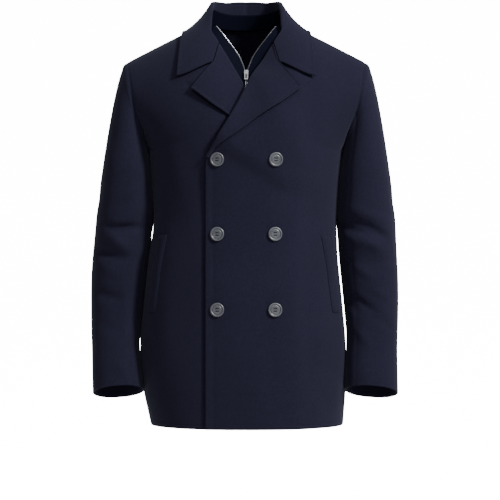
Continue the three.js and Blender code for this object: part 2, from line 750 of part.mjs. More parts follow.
// Zip slider with a bridge over its face, and the pull tab that hangs from the bridge
const SLIDER = { width: 8, height: 10, thick: 2.6, corner: 1.5 };
const BRIDGE = { width: 2, reach: 4, rise: 3.6, sunk: 1, corner: 0.9 };
const WINDOW = { reach: 2.6, rise: 2.5, corner: 0.5 };
const PULL = { width: 7, length: 17, thick: 1.1, side: 1.4, bar: 1.1, corner: 1 };
const PIVOT_RISE = SLIDER.thick + 1.2;

function roundedRectangle(path, left, bottom, width, height, corner) {
  path.moveTo(left + corner, bottom);
  path.lineTo(left + width - corner, bottom);
  path.quadraticCurveTo(left + width, bottom, left + width, bottom + corner);
  path.lineTo(left + width, bottom + height - corner);
  path.quadraticCurveTo(left + width, bottom + height, left + width - corner, bottom + height);
  path.lineTo(left + corner, bottom + height);
  path.quadraticCurveTo(left, bottom + height, left, bottom + height - corner);
  path.lineTo(left, bottom + corner);
  path.quadraticCurveTo(left, bottom, left + corner, bottom);
  return path;
}

const extruded = (shape, depth) =>
  new THREE.ExtrudeGeometry(shape, { depth, bevelEnabled: false, curveSegments: 3 });
const rounded = (...sizes) => roundedRectangle(new THREE.Shape(), ...sizes);
const cutOut = (...sizes) => roundedRectangle(new THREE.Path(), ...sizes);

// Local axes of the slider: x across the zip, y up it, z away from the bib
function sliderBody() {
  const { width, height, thick, corner } = SLIDER;
  const { reach, rise, sunk } = BRIDGE;
  const plate = extruded(rounded(-width / 2, -height / 2, width, height, corner), thick);
  const arch = rounded(-reach, -sunk, 2 * reach, rise + sunk, BRIDGE.corner);
  arch.holes.push(cutOut(-WINDOW.reach, 0, 2 * WINDOW.reach, WINDOW.rise, WINDOW.corner));
  const bridge = extruded(arch, BRIDGE.width);
  bridge.translate(0, 0, -BRIDGE.width / 2);
  bridge.rotateX(Math.PI / 2).rotateZ(Math.PI / 2);
  bridge.translate(0, 0, thick);
  return geometryOf(solidOf(plate).add(solidOf(bridge)));
}

// The pull hangs down its own -y from the middle of its top bar
function pullTab() {
  const { width, length, thick, side, bar, corner } = PULL;
  const bottom = bar / 2 - length;
  const frame = rounded(-width / 2, bottom, width, length, corner);
  const opening = [width - 2 * side, length - bar - 2 * side, WINDOW.corner];
  frame.holes.push(cutOut(side - width / 2, bottom + 2 * side, ...opening));
  return extruded(frame, thick).translate(0, 0, -thick / 2);
}

function solidOf(geometry) {
  geometry.deleteAttribute("normal");
  geometry.deleteAttribute("uv");
  const merged = mergeVertices(geometry, 1e-4);
  const triVerts = new Uint32Array(merged.index.array);
  const vertProperties = merged.attributes.position.array;
  return new wasm.Manifold(new wasm.Mesh({ numProp: 3, vertProperties, triVerts }));
}

function geometryOf(solid) {
  const { vertProperties, triVerts } = solid.getMesh();
  return new THREE.BufferGeometry()
    .setAttribute("position", new THREE.BufferAttribute(vertProperties, 3))
    .setIndex(new THREE.BufferAttribute(triVerts, 1));
}

const coat = new THREE.Group();

function addPiece(name, geometry, finish) {
  const mesh = new THREE.Mesh(geometry, new THREE.MeshStandardMaterial(finish));
  mesh.name = name;
  coat.add(mesh);
  return mesh;
}

function addBody() {
  const rows = FRONT_LEVELS.length - 1;
  addPiece("front_left", wall(rows, FRONT_COLUMNS, frontPanel(leftLift)), WOOL);
  addPiece("front_right", wall(rows, FRONT_COLUMNS, mirrored(frontPanel(noLift))), WOOL);
  addPiece("back_left", wall(BACK_LEVELS.length - 1, BACK_COLUMNS, backPanel), WOOL);
  addPiece("back_right", wall(BACK_LEVELS.length - 1, BACK_COLUMNS, mirrored(backPanel)), WOOL);
}

function addCollar() {
  const rows = LAPEL_ROWS.length - 1;
  addPiece("lapel_left", wall(rows, LAPEL_COLUMNS, lapelPanel(leftLift)), WOOL);
  addPiece("lapel_right", wall(rows, LAPEL_COLUMNS, mirrored(lapelPanel(noLift))), WOOL);
  const leafRows = LEAF_SHARES.length - 1;
  addPiece("collar_leaf", wall(2 * leafRows, LEAF_COLUMNS, bothSides(leafHalf, leafRows)), WOOL);
  const standRows = STAND_SHARES.length - 1;
  addPiece("collar_stand", wall(2 * standRows, STAND_COLUMNS, bothSides(standHalf, standRows)), WOOL);
}

function addSleeves() {
  const rows = SLEEVE_STATIONS.length - 1;
  for (const [name, turns] of [["top", TOP_TURNS], ["under", UNDER_TURNS]]) {
    const columns = turns.length - 1;
    const [left, right] = [sleevePanel(ARMS.left, turns), mirrored(sleevePanel(ARMS.right, turns))];
    addPiece(`sleeve_left_${name}`, wall(rows, columns, left), WOOL);
    addPiece(`sleeve_right_${name}`, wall(rows, columns, right), WOOL);
  }
}

function addBib() {
  const rows = BIB_HEIGHTS.length - 1;
  addPiece("bib_left", wall(rows, BIB_COLUMNS, bibHalf), BIB);
  addPiece("bib_right", wall(rows, BIB_COLUMNS, mirrored(bibHalf)), BIB);
  const bandRows = BAND_TURNS.length - 1;
  addPiece("bib_band", wall(2 * bandRows, BAND_COLUMNS, bothSides(bandHalf, bandRows)), BIB);
}

function addTrim() {
  const rows = WELT_HEIGHTS.length - 1;
  const [left, right] = [weltFace(WELT_OUTWARD.left, 1), mirrored(weltFace(WELT_OUTWARD.right, -1))];
  addPiece("pocket_welt_left", wall(rows, WELT_COLUMNS, left), WOOL);
  addPiece("pocket_welt_right", wall(rows, WELT_COLUMNS, right), WOOL);
  BUTTON_ROWS.forEach((z, row) =>
    [BUTTON_X, -BUTTON_X].forEach((x, column) => {
      const { geometry, turn, seat } = button(x, z);
      const mesh = addPiece(`button_${2 * row + column + 1}`, geometry, HORN);
      mesh.quaternion.copy(turn);
      mesh.position.copy(seat);
    }),
  );
}

function addZip() {
  const place = frontAt(0, SLIDER_Z);
  const normal = torsoNormal(...place);
  const up = vector(1, 0, 0).cross(normal).multiplyScalar(-1);
  const zip = new THREE.Group();
  zip.quaternion.setFromRotationMatrix(new THREE.Matrix4().makeBasis(vector(1, 0, 0), up, normal));
  zip.position.copy(plus(torso(...place), normal, LAYER_GAP - CLOTH - BIB_SHADE));
  coat.add(zip);
  zip.add(addPiece("zip_slider", sliderBody(), METAL));
  const pull = addPiece("zip_pull", pullTab(), METAL);
  pull.position.z = PIVOT_RISE;
  zip.add(pull);
}

addBody();
addCollar();
addSleeves();
addBib();
addTrim();
addZip();

export default coat;
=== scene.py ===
"""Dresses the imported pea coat: cloth shells over its solids, buttons, zip, stitching, looks and studio."""
import json
import math

import bpy
import numpy as np
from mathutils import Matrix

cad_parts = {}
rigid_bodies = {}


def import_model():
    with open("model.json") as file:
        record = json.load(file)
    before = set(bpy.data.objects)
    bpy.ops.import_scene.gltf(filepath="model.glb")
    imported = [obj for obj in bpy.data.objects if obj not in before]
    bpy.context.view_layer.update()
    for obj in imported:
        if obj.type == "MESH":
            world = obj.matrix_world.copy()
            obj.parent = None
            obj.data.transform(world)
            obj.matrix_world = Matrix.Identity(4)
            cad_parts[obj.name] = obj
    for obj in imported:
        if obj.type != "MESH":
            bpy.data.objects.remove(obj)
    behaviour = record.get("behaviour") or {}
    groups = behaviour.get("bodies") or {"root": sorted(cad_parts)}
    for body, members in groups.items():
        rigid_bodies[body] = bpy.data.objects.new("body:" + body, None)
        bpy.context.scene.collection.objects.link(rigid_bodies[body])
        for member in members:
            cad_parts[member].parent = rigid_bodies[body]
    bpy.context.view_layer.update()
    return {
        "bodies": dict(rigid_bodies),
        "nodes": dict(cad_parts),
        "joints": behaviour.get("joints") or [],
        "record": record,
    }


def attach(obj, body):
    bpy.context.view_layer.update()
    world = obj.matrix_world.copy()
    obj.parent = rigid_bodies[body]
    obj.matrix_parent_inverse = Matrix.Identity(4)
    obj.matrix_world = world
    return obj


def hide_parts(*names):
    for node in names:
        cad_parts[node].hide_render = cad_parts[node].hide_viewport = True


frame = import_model()
COAT = "coat"
PULL = "pull"
MM = 0.001

# Cloth
CLOTH = 2.6
BIB_CLOTH = 2.0
LAYER_GAP = 1.0
SEAM = 0.4
ROLL = 3.0

# Body
HEM = -767.0
ARMPIT = -231.0
YOKE_DROP = 190.0
CHEST = {"front": 135.0, "back": 140.0}
SQUARENESS = 2.3
SIDE_NECK = (80.0, 12.0)
SHOULDER_SLOPE = 0.53
SHOULDER_EASE = 50.0
NECK_HOLLOW = (75.0, 60.0)
CHEST_SLOPE = 0.2
BACK_NECK = 75.0

# Fronts and lapels
OVERLAP = 75.0
CROSSING = -122.0
ROLL_SLOPE = 1.72
ROLL_SET_BACK = 6.45
ROLL_BOTTOM = (-70.0, -243.0)
ROLL_LENGTH = 240.4
ROLL_REACH = ROLL + CLOTH / 2
GORGE_Z = -35.0

# Zip and buttons
SLIDER_Z = -89.0
BIB_SHADE = 2.5
BUTTON_RADIUS = 13.5
BUTTON_ROWS = (-258.0, -399.0, -542.0)
BUTTON_X = 54.0


class Curve:
    """Curve through the rows of a table whose first column is the key, smooth or straight between them."""

    def __init__(self, rows, smooth=True):
        self.rows = np.array(rows, float)
        after = np.minimum(np.arange(len(rows)) + 1, len(rows) - 1)
        before = np.maximum(np.arange(len(rows)) - 1, 0)
        rise = self.rows[after] - self.rows[before]
        self.slopes = rise / rise[:, :1]
        self.smooth = smooth

    def __call__(self, key, column=1):
        keys = self.rows[:, 0]
        i = np.clip(np.searchsorted(keys, key, side="right") - 1, 0, len(keys) - 2)
        span = keys[i + 1] - keys[i]
        t = np.clip((key - keys[i]) / span, 0, 1)
        low, high = self.rows[i, column], self.rows[i + 1, column]
        if not self.smooth:
            return low + (high - low) * t
        return hermite(t, low, high, self.slopes[i, column] * span, self.slopes[i + 1, column] * span)


def hermite(t, a, b, start_slope, end_slope):
    t2, t3 = t * t, t * t * t
    leaving = (2 * t3 - 3 * t2 + 1) * a + (t3 - 2 * t2 + t) * start_slope
    return leaving + (3 * t2 - 2 * t3) * b + (t3 - t2) * end_slope


# Height, half width, front depth, back depth
TRUNK = Curve([
    (-767, 187.2, 147, 150),
    (-690, 197.6, 145, 148),
    (-606, 200, 142.5, 145.5),
    (-538, 194, 139, 139),
    (-445, 184, 133.5, 125.5),
    (-409, 180.2, 132, 123),
    (-370, 178, 131, 122),
    (-290, 183, 133, 132),
    (-231, 188, 135, 140),
])
HALF_WIDTH, FRONT_DEPTH, BACK_DEPTH = 1, 2, 3

# How far the worn coat leans to the wearer's right: height, shift of its sides
LEAN = Curve([
    (-767, -1.4),
    (-690, 4),
    (-606, 6.6),
    (-538, 6.2),
    (-445, 5.8),
    (-409, 3.9),
    (-370, 2.4),
    (-231, 1.2),
    (-60, 0),
])
LEAN_SHARE = {"middle": 60.0, "side": 175.0, "arm": 200.0, "outer_arm": 300.0, "outer": 0.5}

# Shoulder turn in degrees, width of the section, half width of the armhole
YOKE = Curve([
    (0, 305, 233),
    (15, 298, 230),
    (30, 284, 226),
    (45, 266, 221),
    (60, 236, 213),
    (75, 209, 199),
    (90, 188, 188),
])
SECTION_WIDTH, ARMHOLE_WIDTH = 1, 2

# Height and half width of the front neckline
NECKLINE = Curve([(-35, 57.6), (-20, 66.3), (-5, 73), (12, 80)])

# Share of the roll line, width of the lapel
LAPEL = Curve([
    (-0.04, 6),
    (0.05, 7),
    (0.094, 11),
    (0.312, 37.3),
    (0.605, 70.9),
    (0.766, 85.9),
    (0.79, 89.1),
    (0.893, 28.4),
    (0.992, 4.4),
], smooth=False)
LAPEL_POINT = 0.79
POINT_LIFT = 2.5
POINT_RUN = (0.5, 0.79)
LAPEL_NOTCH = 0.893
LAPEL_ENDS = (-0.04, 0.992)

# Half of the collar: share, turn, half width and rise of the fold, turn and width of the edge
LEAF = Curve([
    (0, -33.4, 0, 52, -46.5, 0),
    (0.15, -28.5, 37, 48, -44, 46),
    (0.3, -19, 57, 42, -37, 82),
    (0.42, -9, 66, 35, -24, 107),
    (0.53, 0, 68.5, 27, -6, 119),
    (0.64, 8.5, 69.5, 14.5, 10, 122),
    (0.76, 16.5, 69.5, 5, 25.5, 125),
    (0.88, 23, 68.2, 0.8, 39.5, 127.3),
    (1, 30.5, 53.9, 0, 52, 129.3),
])
FOLD_TURN, FOLD_X, FOLD_RISE, EDGE_TURN, EDGE_X = 1, 2, 3, 4, 5
LEAF_END = 0.996
LEAF_FALL = 1.8
NOTCH_SHARE, NOTCH_TURN, NOTCH_X, NOTCH_FROM = 0.353, 6.6, -16.3, 0.76
LEAF_SAG = 3.0
LEAF_LIFT = 3.0
NECK_TURN = Curve([
    (0, -32.4),
    (0.15, -29.5),
    (0.3, -22),
    (0.42, -12.5),
    (0.53, -3),
    (0.64, 6),
    (0.76, 14),
    (0.8, 17),
])
STAND_END = 0.8
STAND_FOOT = 1.7

# Outer height, outer x, inner height, middle y, half depth, rise of the front
SLEEVE = Curve([
    (-706, 295, -698, -34, 50, 15),
    (-680, 295.5, -668, -28, 51.5, 12),
    (-620, 296.8, -610, -12, 54, 6),
    (-550, 299.5, -545, 2, 58, 2),
    (-480, 299.5, -480, 8, 63, 0),
    (-410, 294.8, -415, 8, 68, 0),
    (-340, 289, -350, 5, 72, 0),
    (-262, 278, -285, 2, 74, 0),
])
OUTER_X, INNER_Z, MIDDLE_Y, HALF_DEPTH, FRONT_RISE = 1, 2, 3, 4, 5

# Height and room between a sleeve and the body's side; below 0 the cloth is pressed together
ROOM = {
    "left": Curve([
        (-706, -3.2), (-640, -1.5), (-612, 0.6), (-590, 2.0),
        (-540, 2.6), (-440, 3.0), (-400, 2.2), (-358, -0.8),
    ], False),
    "right": Curve([
        (-706, -3.2), (-640, -1.5), (-608, 1.0), (-590, -1.2),
        (-432, -0.8), (-395, 2.2), (-358, -0.8),
    ], False),
}
CAP_LEAVE = {"under": 9.0, "top": 55.0, "outward": 3.5}
CAP_ARRIVE = {"under": 45.0, "top": 190.0}
SLEEVE_ROUND = 0.84
CAP_END, CAP_AIM, CAP_LENGTH = -262.0, 38.0, 160
TURN_STEP = 0.01
CUFF = -706.0
CREASE_RADIUS = 58.0

WELT_EDGE = Curve([(-547, 165), (-505, 159), (-455, 153), (-400, 142.5)])
WELT_ENDS = (-400, -547)
WELT_WIDTH = 25.0
WELT_LIFT = 0.8

ZIP_OPENING = Curve([
    (-89, 0.3),
    (-76, 4.8),
    (-60, 10.6),
    (-49, 16.6),
    (-36, 25),
    (-22, 35.5),
    (-4, 48.5),
    (9, 59.5),
], smooth=False)
BIB_BOTTOM = -175.0
BIB_TOP = 8.0
BIB_WIDTH, BIB_REACH = 24.0, 77.0
BAND = {"start": -32.4, "end": 8.0, "inset": 6.0, "height": 27.0, "least": 2.0, "lean": 0.35}
BAND_TAPER = (-9, 8)


def smooth_step(value, start, end):
    t = np.clip((value - start) / (end - start), 0, 1)
    return t * t * (3 - 2 * t)


def mix(a, b, t):
    return a + (b - a) * t


def unit(v):
    return v / np.maximum(np.linalg.norm(v, axis=-1, keepdims=True), 1e-12)


def points(x, y, z):
    return np.stack(np.broadcast_arrays(x, y, z), axis=-1).astype(float)


def power(value, exponent):
    return np.sign(value) * np.abs(value) ** exponent


def bisect(low, high, is_below):
    for _ in range(32):
        middle = (low + high) / 2
        below = is_below(middle)
        low, high = np.where(below, middle, low), np.where(below, high, middle)
    return (low + high) / 2


def lean_at(x, z):
    """Lean at a place: none in the middle, whole at the body's sides, less outside the arms."""
    away = np.abs(x)
    side = smooth_step(away, LEAN_SHARE["middle"], LEAN_SHARE["side"])
    arm = smooth_step(away, LEAN_SHARE["arm"], LEAN_SHARE["outer_arm"])
    return LEAN(z) * side * mix(1, LEAN_SHARE["outer"], arm)


def leaned(verts):
    return points(verts[..., 0] - lean_at(verts[..., 0], verts[..., 2]), verts[..., 1], verts[..., 2])


# Torso surface


def yoke_height(x, y, turn):
    ease = np.hypot(x, SHOULDER_EASE) - math.hypot(SIDE_NECK[0], SHOULDER_EASE)
    ridge = SIDE_NECK[1] - SHOULDER_SLOPE * ease
    drop = YOKE_DROP * (1 - np.cos(turn))
    hollow = NECK_HOLLOW[0] * np.exp(-((x / NECK_HOLLOW[1]) ** 2))
    opening = np.sin(np.minimum(2 * turn, np.pi / 2)) ** 2
    front = hollow * opening - CHEST_SLOPE * y * np.sin(turn)
    return ridge - drop - np.where(y > 0, 0, front)


def section_width(level):
    height = HEM + (ARMPIT - HEM) * np.minimum(level, 1)
    return np.where(level > 1, YOKE(90 * (2 - level), SECTION_WIDTH), TRUNK(height, HALF_WIDTH))


def torso(angle, level):
    """Angle 0 in front, 90 degrees at the left side; level 0 hem, 1 armpit, 2 shoulder seam."""
    angle, level = np.broadcast_arrays(angle, level)
    turn = np.where(level > 1, (2 - level) * np.pi / 2, np.pi / 2)
    height = HEM + (ARMPIT - HEM) * np.minimum(level, 1)
    in_front = np.cos(angle) > 0
    chest = np.where(in_front, CHEST["front"], CHEST["back"])
    trunk = np.where(in_front, TRUNK(height, FRONT_DEPTH), TRUNK(height, BACK_DEPTH))
    depth = np.where(level > 1, chest * np.sin(turn), trunk)
    x = section_width(level) * power(np.sin(angle), 2 / SQUARENESS)
    y = -depth * power(np.cos(angle), 2 / SQUARENESS)
    top = yoke_height(x, y, turn)
    return points(x, y, np.where(level > 1, top, HEM + (top - HEM) * level))


def torso_normal(angle, level):
    step = 0.004
    across = torso(angle + step, level) - torso(angle - step, level)
    up = torso(angle, np.minimum(level + step, 2)) - torso(angle, np.maximum(level - step, 0))
    return unit(np.cross(across, up))


def angle_at(x, level):
    share = np.minimum(1, (np.abs(x) / section_width(level)) ** (SQUARENESS / 2))
    return np.arcsin(share) * np.sign(x)


def front_at(x, z):
    """Angle and level of the front surface at a place seen from the front."""
    x, z = np.broadcast_arrays(np.asarray(x, float), np.asarray(z, float))
    start = np.zeros(x.shape)
    level = bisect(start, start + 2, lambda value: torso(angle_at(x, value), value)[..., 2] < z)
    return angle_at(x, level), level


def armhole_angle(level):
    return angle_at(YOKE(90 * (2 - level), ARMHOLE_WIDTH), level)


def roll_x(z):
    return (z - CROSSING) / ROLL_SLOPE


def seam_angle(depth):
    return math.acos((SEAM / 2 / depth) ** (SQUARENESS / 2))


def front_edge_x(z):
    return np.where(z > GORGE_Z, NECKLINE(z), np.maximum(-OVERLAP, roll_x(z) + ROLL_SET_BACK))


FRONT_EASE = {"from": OVERLAP + 15, "to": OVERLAP + 52, "low": CROSSING, "high": -66}
LAPEL_EASE = {"from": 24, "to": 90, "low": -110, "high": -45, "below": 44, "start": 86}
LAPEL_EDGE = {"height": -197, "slope": -0.66}


def left_lift(x, z):
    """How far the left front is lifted by the right front and right lapel under it."""
    front = 1 - smooth_step(x, FRONT_EASE["from"], FRONT_EASE["to"])
    front = front * (1 - smooth_step(z, FRONT_EASE["low"], FRONT_EASE["high"]))
    roll = -roll_x(np.maximum(z, ROLL_BOTTOM[1]))
    edge = LAPEL_EDGE["height"] + LAPEL_EDGE["slope"] * np.minimum(x, -ROLL_BOTTOM[0])
    across = 1 - smooth_step(x, roll + LAPEL_EASE["from"], roll + LAPEL_EASE["to"])
    above = 1 - smooth_step(z, LAPEL_EASE["low"], LAPEL_EASE["high"])
    lower = smooth_step(z, edge - LAPEL_EASE["start"], edge - LAPEL_EASE["below"])
    return (CLOTH + LAYER_GAP) * front + (2 * ROLL + LAYER_GAP) * across * above * lower


def no_lift(x, z):
    return np.zeros(np.broadcast(x, z).shape)


def spaced(length, step, near):
    """Shares of a length, about a step apart, with the given distances from both its ends added."""
    near = np.array([d for d in near if d < length / 3])
    inner = near[-1] if len(near) else 0.0
    count = max(2, round((length - 2 * inner) / step))
    middle = np.linspace(inner, length - inner, count + 1)
    return np.concatenate([near[:-1], middle, length - near[-2::-1]]) / length


# Mesh making


def edge_out(grid, normal):
    """Border of a grid as one loop of (row, column), with the direction out of the cloth at each place."""
    rows, columns = grid.shape[:2]
    loop = [(0, j) for j in range(columns)]
    loop += [(i, columns - 1) for i in range(1, rows)]
    loop += [(rows - 1, j) for j in range(columns - 2, -1, -1)]
    loop += [(i, 0) for i in range(rows - 2, 0, -1)]
    i, j = np.array(loop).T
    inward = grid[np.clip(i, 1, rows - 2), np.clip(j, 1, columns - 2)]
    out = grid[i, j] - inward
    n = normal[i, j]
    out -= n * np.sum(out * n, axis=-1, keepdims=True)
    return i, j, unit(out)


EDGE_TURNS = np.radians([40, 90, 140])
EDGE_BULGE = 0.5


def cloth_mesh(name, outer, normal, thick):
    """A closed shell of cloth, with soft rounded edges, from a grid on its outer face in millimetres."""
    rows, columns = outer.shape[:2]
    inner = outer - normal * thick
    i, j, out = edge_out(outer, normal)
    middle = (outer[i, j] + inner[i, j]) / 2
    rims = [
        middle + thick / 2 * (np.cos(a) * normal[i, j] + EDGE_BULGE * np.sin(a) * out) for a in EDGE_TURNS
    ]
    count = rows * columns
    verts = np.concatenate([outer.reshape(-1, 3), inner.reshape(-1, 3), *rims])
    index = np.arange(count).reshape(rows, columns)
    corners = [index[:-1, :-1], index[:-1, 1:], index[1:, 1:], index[1:, :-1]]
    quads = np.stack(corners, axis=-1).reshape(-1, 4)
    loop = i * columns + j
    rim_lines = [2 * count + k * len(loop) + np.arange(len(loop)) for k in range(len(rims))]
    lines = [loop, *rim_lines, count + loop]
    strips = [np.stack([a, b, np.roll(b, -1), np.roll(a, -1)], axis=-1) for a, b in zip(lines, lines[1:])]
    faces = np.concatenate([quads, quads[:, ::-1] + count, *strips])
    return make_object(name, leaned(verts), faces, check=True)


def make_object(name, verts, faces, check=False):
    """A smooth-shaded mesh object from millimetre points; check turns its faces out if they face in."""
    if check and volume(verts, faces) < 0:
        faces = faces[:, ::-1]
    mesh = bpy.data.meshes.new(name)
    mesh.from_pydata((np.asarray(verts) * MM).tolist(), [], [[int(k) for k in face] for face in faces])
    mesh.validate()
    mesh.shade_smooth()
    piece = bpy.data.objects.new(name, mesh)
    bpy.context.scene.collection.objects.link(piece)
    return piece


def volume(verts, faces):
    a, b, c, d = (verts[faces[:, k]] for k in range(4))
    return np.sum(a * np.cross(b, c)) + np.sum(a * np.cross(c, d))


def mirror(outer, normal):
    flip = np.array([-1.0, 1.0, 1.0])
    return outer * flip, normal * flip


def on_side(side, outer, normal):
    """A left piece's grid as it lies on either side."""
    return mirror(outer, normal) if side == "right" else (outer, normal)


def both_sides(outer, normal):
    """A grid from share 0 at the centre back becomes one that runs round the neck from side to side."""
    other, other_normal = mirror(outer, normal)
    return np.concatenate([other[:0:-1], outer]), np.concatenate([other_normal[:0:-1], normal])


def distances(grid):
    """Distance of each grid point from its row's two ends and its column's two ends, along the cloth."""
    across = np.linalg.norm(np.diff(grid, axis=1), axis=-1)
    along = np.linalg.norm(np.diff(grid, axis=0), axis=-1)
    zero_row, zero_column = np.zeros((1, grid.shape[1])), np.zeros((grid.shape[0], 1))
    left = np.concatenate([zero_column, np.cumsum(across, axis=1)], axis=1)
    low = np.concatenate([zero_row, np.cumsum(along, axis=0)], axis=0)
    return {"left": left, "right": left[:, -1:] - left, "low": low, "high": low[-1:] - low}


def groove(distance, depth, width, at=0.0):
    return depth * np.exp(-(((distance - at) / width) ** 2))


def creased(u, v, rows):
    """Depth of a set of soft creases; each row is start u, start v, end u, end v, depth, half width."""
    depth = np.zeros(np.broadcast(u, v).shape)
    for u1, v1, u2, v2, deep, width in rows:
        du, dv = u2 - u1, v2 - v1
        t = np.clip(((u - u1) * du + (v - v1) * dv) / (du * du + dv * dv), 0, 1)
        far = np.hypot(u - u1 - t * du, v - v1 - t * dv) / width
        depth += deep * np.exp(-far * far) * (0.4 + 0.6 * np.sin(np.pi * t))
    return depth


# Faces of the pieces: each gives a grid of points on the outer face and the normals there


def on_torso(angle, level, lift=0.0):
    normal = torso_normal(angle, level)
    return torso(angle, level) + normal * np.asarray(lift)[..., None], normal


SHOULDER_GAP = SEAM / CHEST["front"] / math.pi
BODY_ROWS = {"trunk": 118, "yoke": 120}
YOKE_LENGTH = 300
NEAR_EDGE = (0, 0.8, 2, 4)
FRONT_WIDTH, BACK_WIDTH, STEP = 270, 190, 4.5
FRONT_STEP = 3.0


def body_levels():
    low = np.linspace(0, 1, BODY_ROWS["trunk"], endpoint=False)
    high = 1 + spaced(YOKE_LENGTH, YOKE_LENGTH / BODY_ROWS["yoke"], NEAR_EDGE) * (1 - SHOULDER_GAP)
    return np.concatenate([[0, 0.0015, 0.004], low[1:], high])[:, None]


def front_grid(lift):
    level = body_levels()
    start = np.zeros(level.shape)

    def inside(angle):
        point = torso(angle, level)
        return point[..., 0] < front_edge_x(point[..., 2])

    inner = bisect(start - 1.2, start + 1.5, inside)
    side = seam_angle(CHEST["front"])
    outer = np.where(level < 1, side, np.minimum(armhole_angle(level), side))
    angle = mix(inner, outer, spaced(FRONT_WIDTH, FRONT_STEP, NEAR_EDGE)[None, :])
    point = torso(angle, level)
    return on_torso(angle, level, lift(point[..., 0], point[..., 2]))


def back_neck_x(level):
    y = CHEST["back"] * np.sin((2 - level) * np.pi / 2)
    curve = SIDE_NECK[0] * np.sqrt(np.maximum(0, 1 - (y / BACK_NECK) ** 2))
    return np.where((level > 1) & (y < BACK_NECK), np.maximum(SEAM / 2, curve), SEAM / 2)


def back_grid():
    level = body_levels()
    inner = angle_at(back_neck_x(level), level)
    side = seam_angle(CHEST["back"])
    outer = np.where(level < 1, side, np.minimum(armhole_angle(level), side))
    angle = mix(inner, outer, spaced(BACK_WIDTH, STEP, NEAR_EDGE)[None, :])
    return on_torso(np.pi - angle, level)


ROLL_BENDS = np.radians(np.linspace(0, 180, 13))
LAPEL_SPREAD = 20
LEAF_STEP = 3.5
LEAF_WIDTH, LEAF_RUN = 60, 210


def lapel_place(share, reach):
    run = share * ROLL_LENGTH
    slant = math.hypot(1, ROLL_SLOPE)
    dx, dz = 1 / slant, ROLL_SLOPE / slant
    return front_at(ROLL_BOTTOM[0] + dx * run + dz * reach, ROLL_BOTTOM[1] + dz * run - dx * reach)


def lapel_grid(lift):
    low, high = LAPEL_ENDS
    parts = [(low, LAPEL_POINT, 200), (LAPEL_POINT, LAPEL_NOTCH, 40), (LAPEL_NOTCH, high, 24)]
    runs = [mix(a, b, spaced(size, LEAF_STEP, (0, 0.8)))[:-1] for a, b, size in parts]
    share = np.concatenate([*runs, [high]])[:, None]
    bend = ROLL_BENDS[None, :]
    roll_reach = ROLL_REACH - ROLL * np.sin(bend) + 0 * share
    roll_rise = ROLL * (1 - np.cos(bend)) - CLOTH / 2 + 0 * share
    spread = spaced(LEAF_WIDTH, LEAF_WIDTH / LAPEL_SPREAD, NEAR_EDGE)[None, 1:]
    flat_reach = mix(ROLL_REACH, LAPEL(share), spread)
    lifted = POINT_LIFT * spread * smooth_step(share, *POINT_RUN)
    flat_rise = mix(2 * ROLL - CLOTH / 2, CLOTH / 2 + 3 * LAYER_GAP, smooth_step(spread, 0, 1)) + lifted
    reach = np.concatenate([roll_reach, flat_reach], axis=1)
    rise = np.concatenate([roll_rise, flat_rise], axis=1)
    turn = np.concatenate([bend + 0 * share, np.pi + 0 * flat_reach], axis=1)[..., None]
    angle, level = lapel_place(share, reach)
    point, normal = torso(angle, level), torso_normal(angle, level)
    away = unit(torso(*lapel_place(share, reach - 1)) - torso(*lapel_place(share, reach + 1)))
    middle = point + normal * (rise + lift(point[..., 0], point[..., 2]))[..., None]
    out = away * np.sin(turn) - normal * np.cos(turn)
    return middle + out * CLOTH / 2, out


def shoulder_at(x, turn):
    level = 2 - np.abs(turn) / 90
    angle = angle_at(x, level)
    return np.where(turn < 0, np.pi - angle, angle), level


def leaf_middle(share, fall):
    end = smooth_step(share, NOTCH_FROM, 1)
    bow = end * np.minimum(fall / NOTCH_SHARE, (1 - fall) / (1 - NOTCH_SHARE))
    beyond = np.maximum(0, (fall - NOTCH_SHARE) / (1 - NOTCH_SHARE))
    sag = end * LEAF_SAG * 4 * beyond * (1 - beyond)
    turn = mix(LEAF(share, FOLD_TURN), LEAF(share, EDGE_TURN), fall) + bow * NOTCH_TURN + sag
    x = mix(LEAF(share, FOLD_X), LEAF(share, EDGE_X), fall) + bow * NOTCH_X
    place = shoulder_at(x, turn)
    rise = mix(2 * ROLL - CLOTH / 2, CLOTH / 2 + 2 * LAYER_GAP, fall) + end * fall * LEAF_LIFT
    point = torso(*place) + torso_normal(*place) * rise[..., None]
    point[..., 2] += LEAF(share, FOLD_RISE) * (1 - fall) ** LEAF_FALL
    return point


def leaf_frame(share, fall):
    step = 0.01
    after, before = np.minimum(share + step, 1), np.maximum(share - step, -step)
    along = leaf_middle(after, fall) - leaf_middle(before, fall)
    down = leaf_middle(share, np.minimum(fall + step, 1)) - leaf_middle(share, np.maximum(fall - step, 0))
    return unit(np.cross(along, down)), unit(down)


def leaf_roll(share, bend):
    normal, down = leaf_frame(share, 0 * share)
    centre = leaf_middle(share, 0 * share) - normal * ROLL
    out = -normal * np.cos(bend)[..., None] - down * np.sin(bend)[..., None]
    return centre + out * ROLL, out


def leaf_grid():
    half = spaced(LEAF_RUN, LEAF_STEP, NEAR_EDGE[:3])
    half = half[len(half) // 2:]
    share = ((half - half[0]) / (1 - half[0]) * LEAF_END)[:, None]
    roll, roll_out = leaf_roll(share + 0 * ROLL_BENDS[None, :], ROLL_BENDS[None, :] + 0 * share)
    upper = mix(0, NOTCH_SHARE, np.linspace(0, 1, 10))[1:-1]
    lower = mix(NOTCH_SHARE, 1, spaced(LEAF_WIDTH, LEAF_STEP, NEAR_EDGE))
    fall = np.concatenate([upper, lower])[None, :] + 0 * share
    middle = leaf_middle(share + 0 * fall, fall)
    out, _ = leaf_frame(share + 0 * fall, fall)
    middle = np.concatenate([roll, middle], axis=1)
    out = np.concatenate([roll_out, out], axis=1)
    return both_sides(middle + out * CLOTH / 2, out)


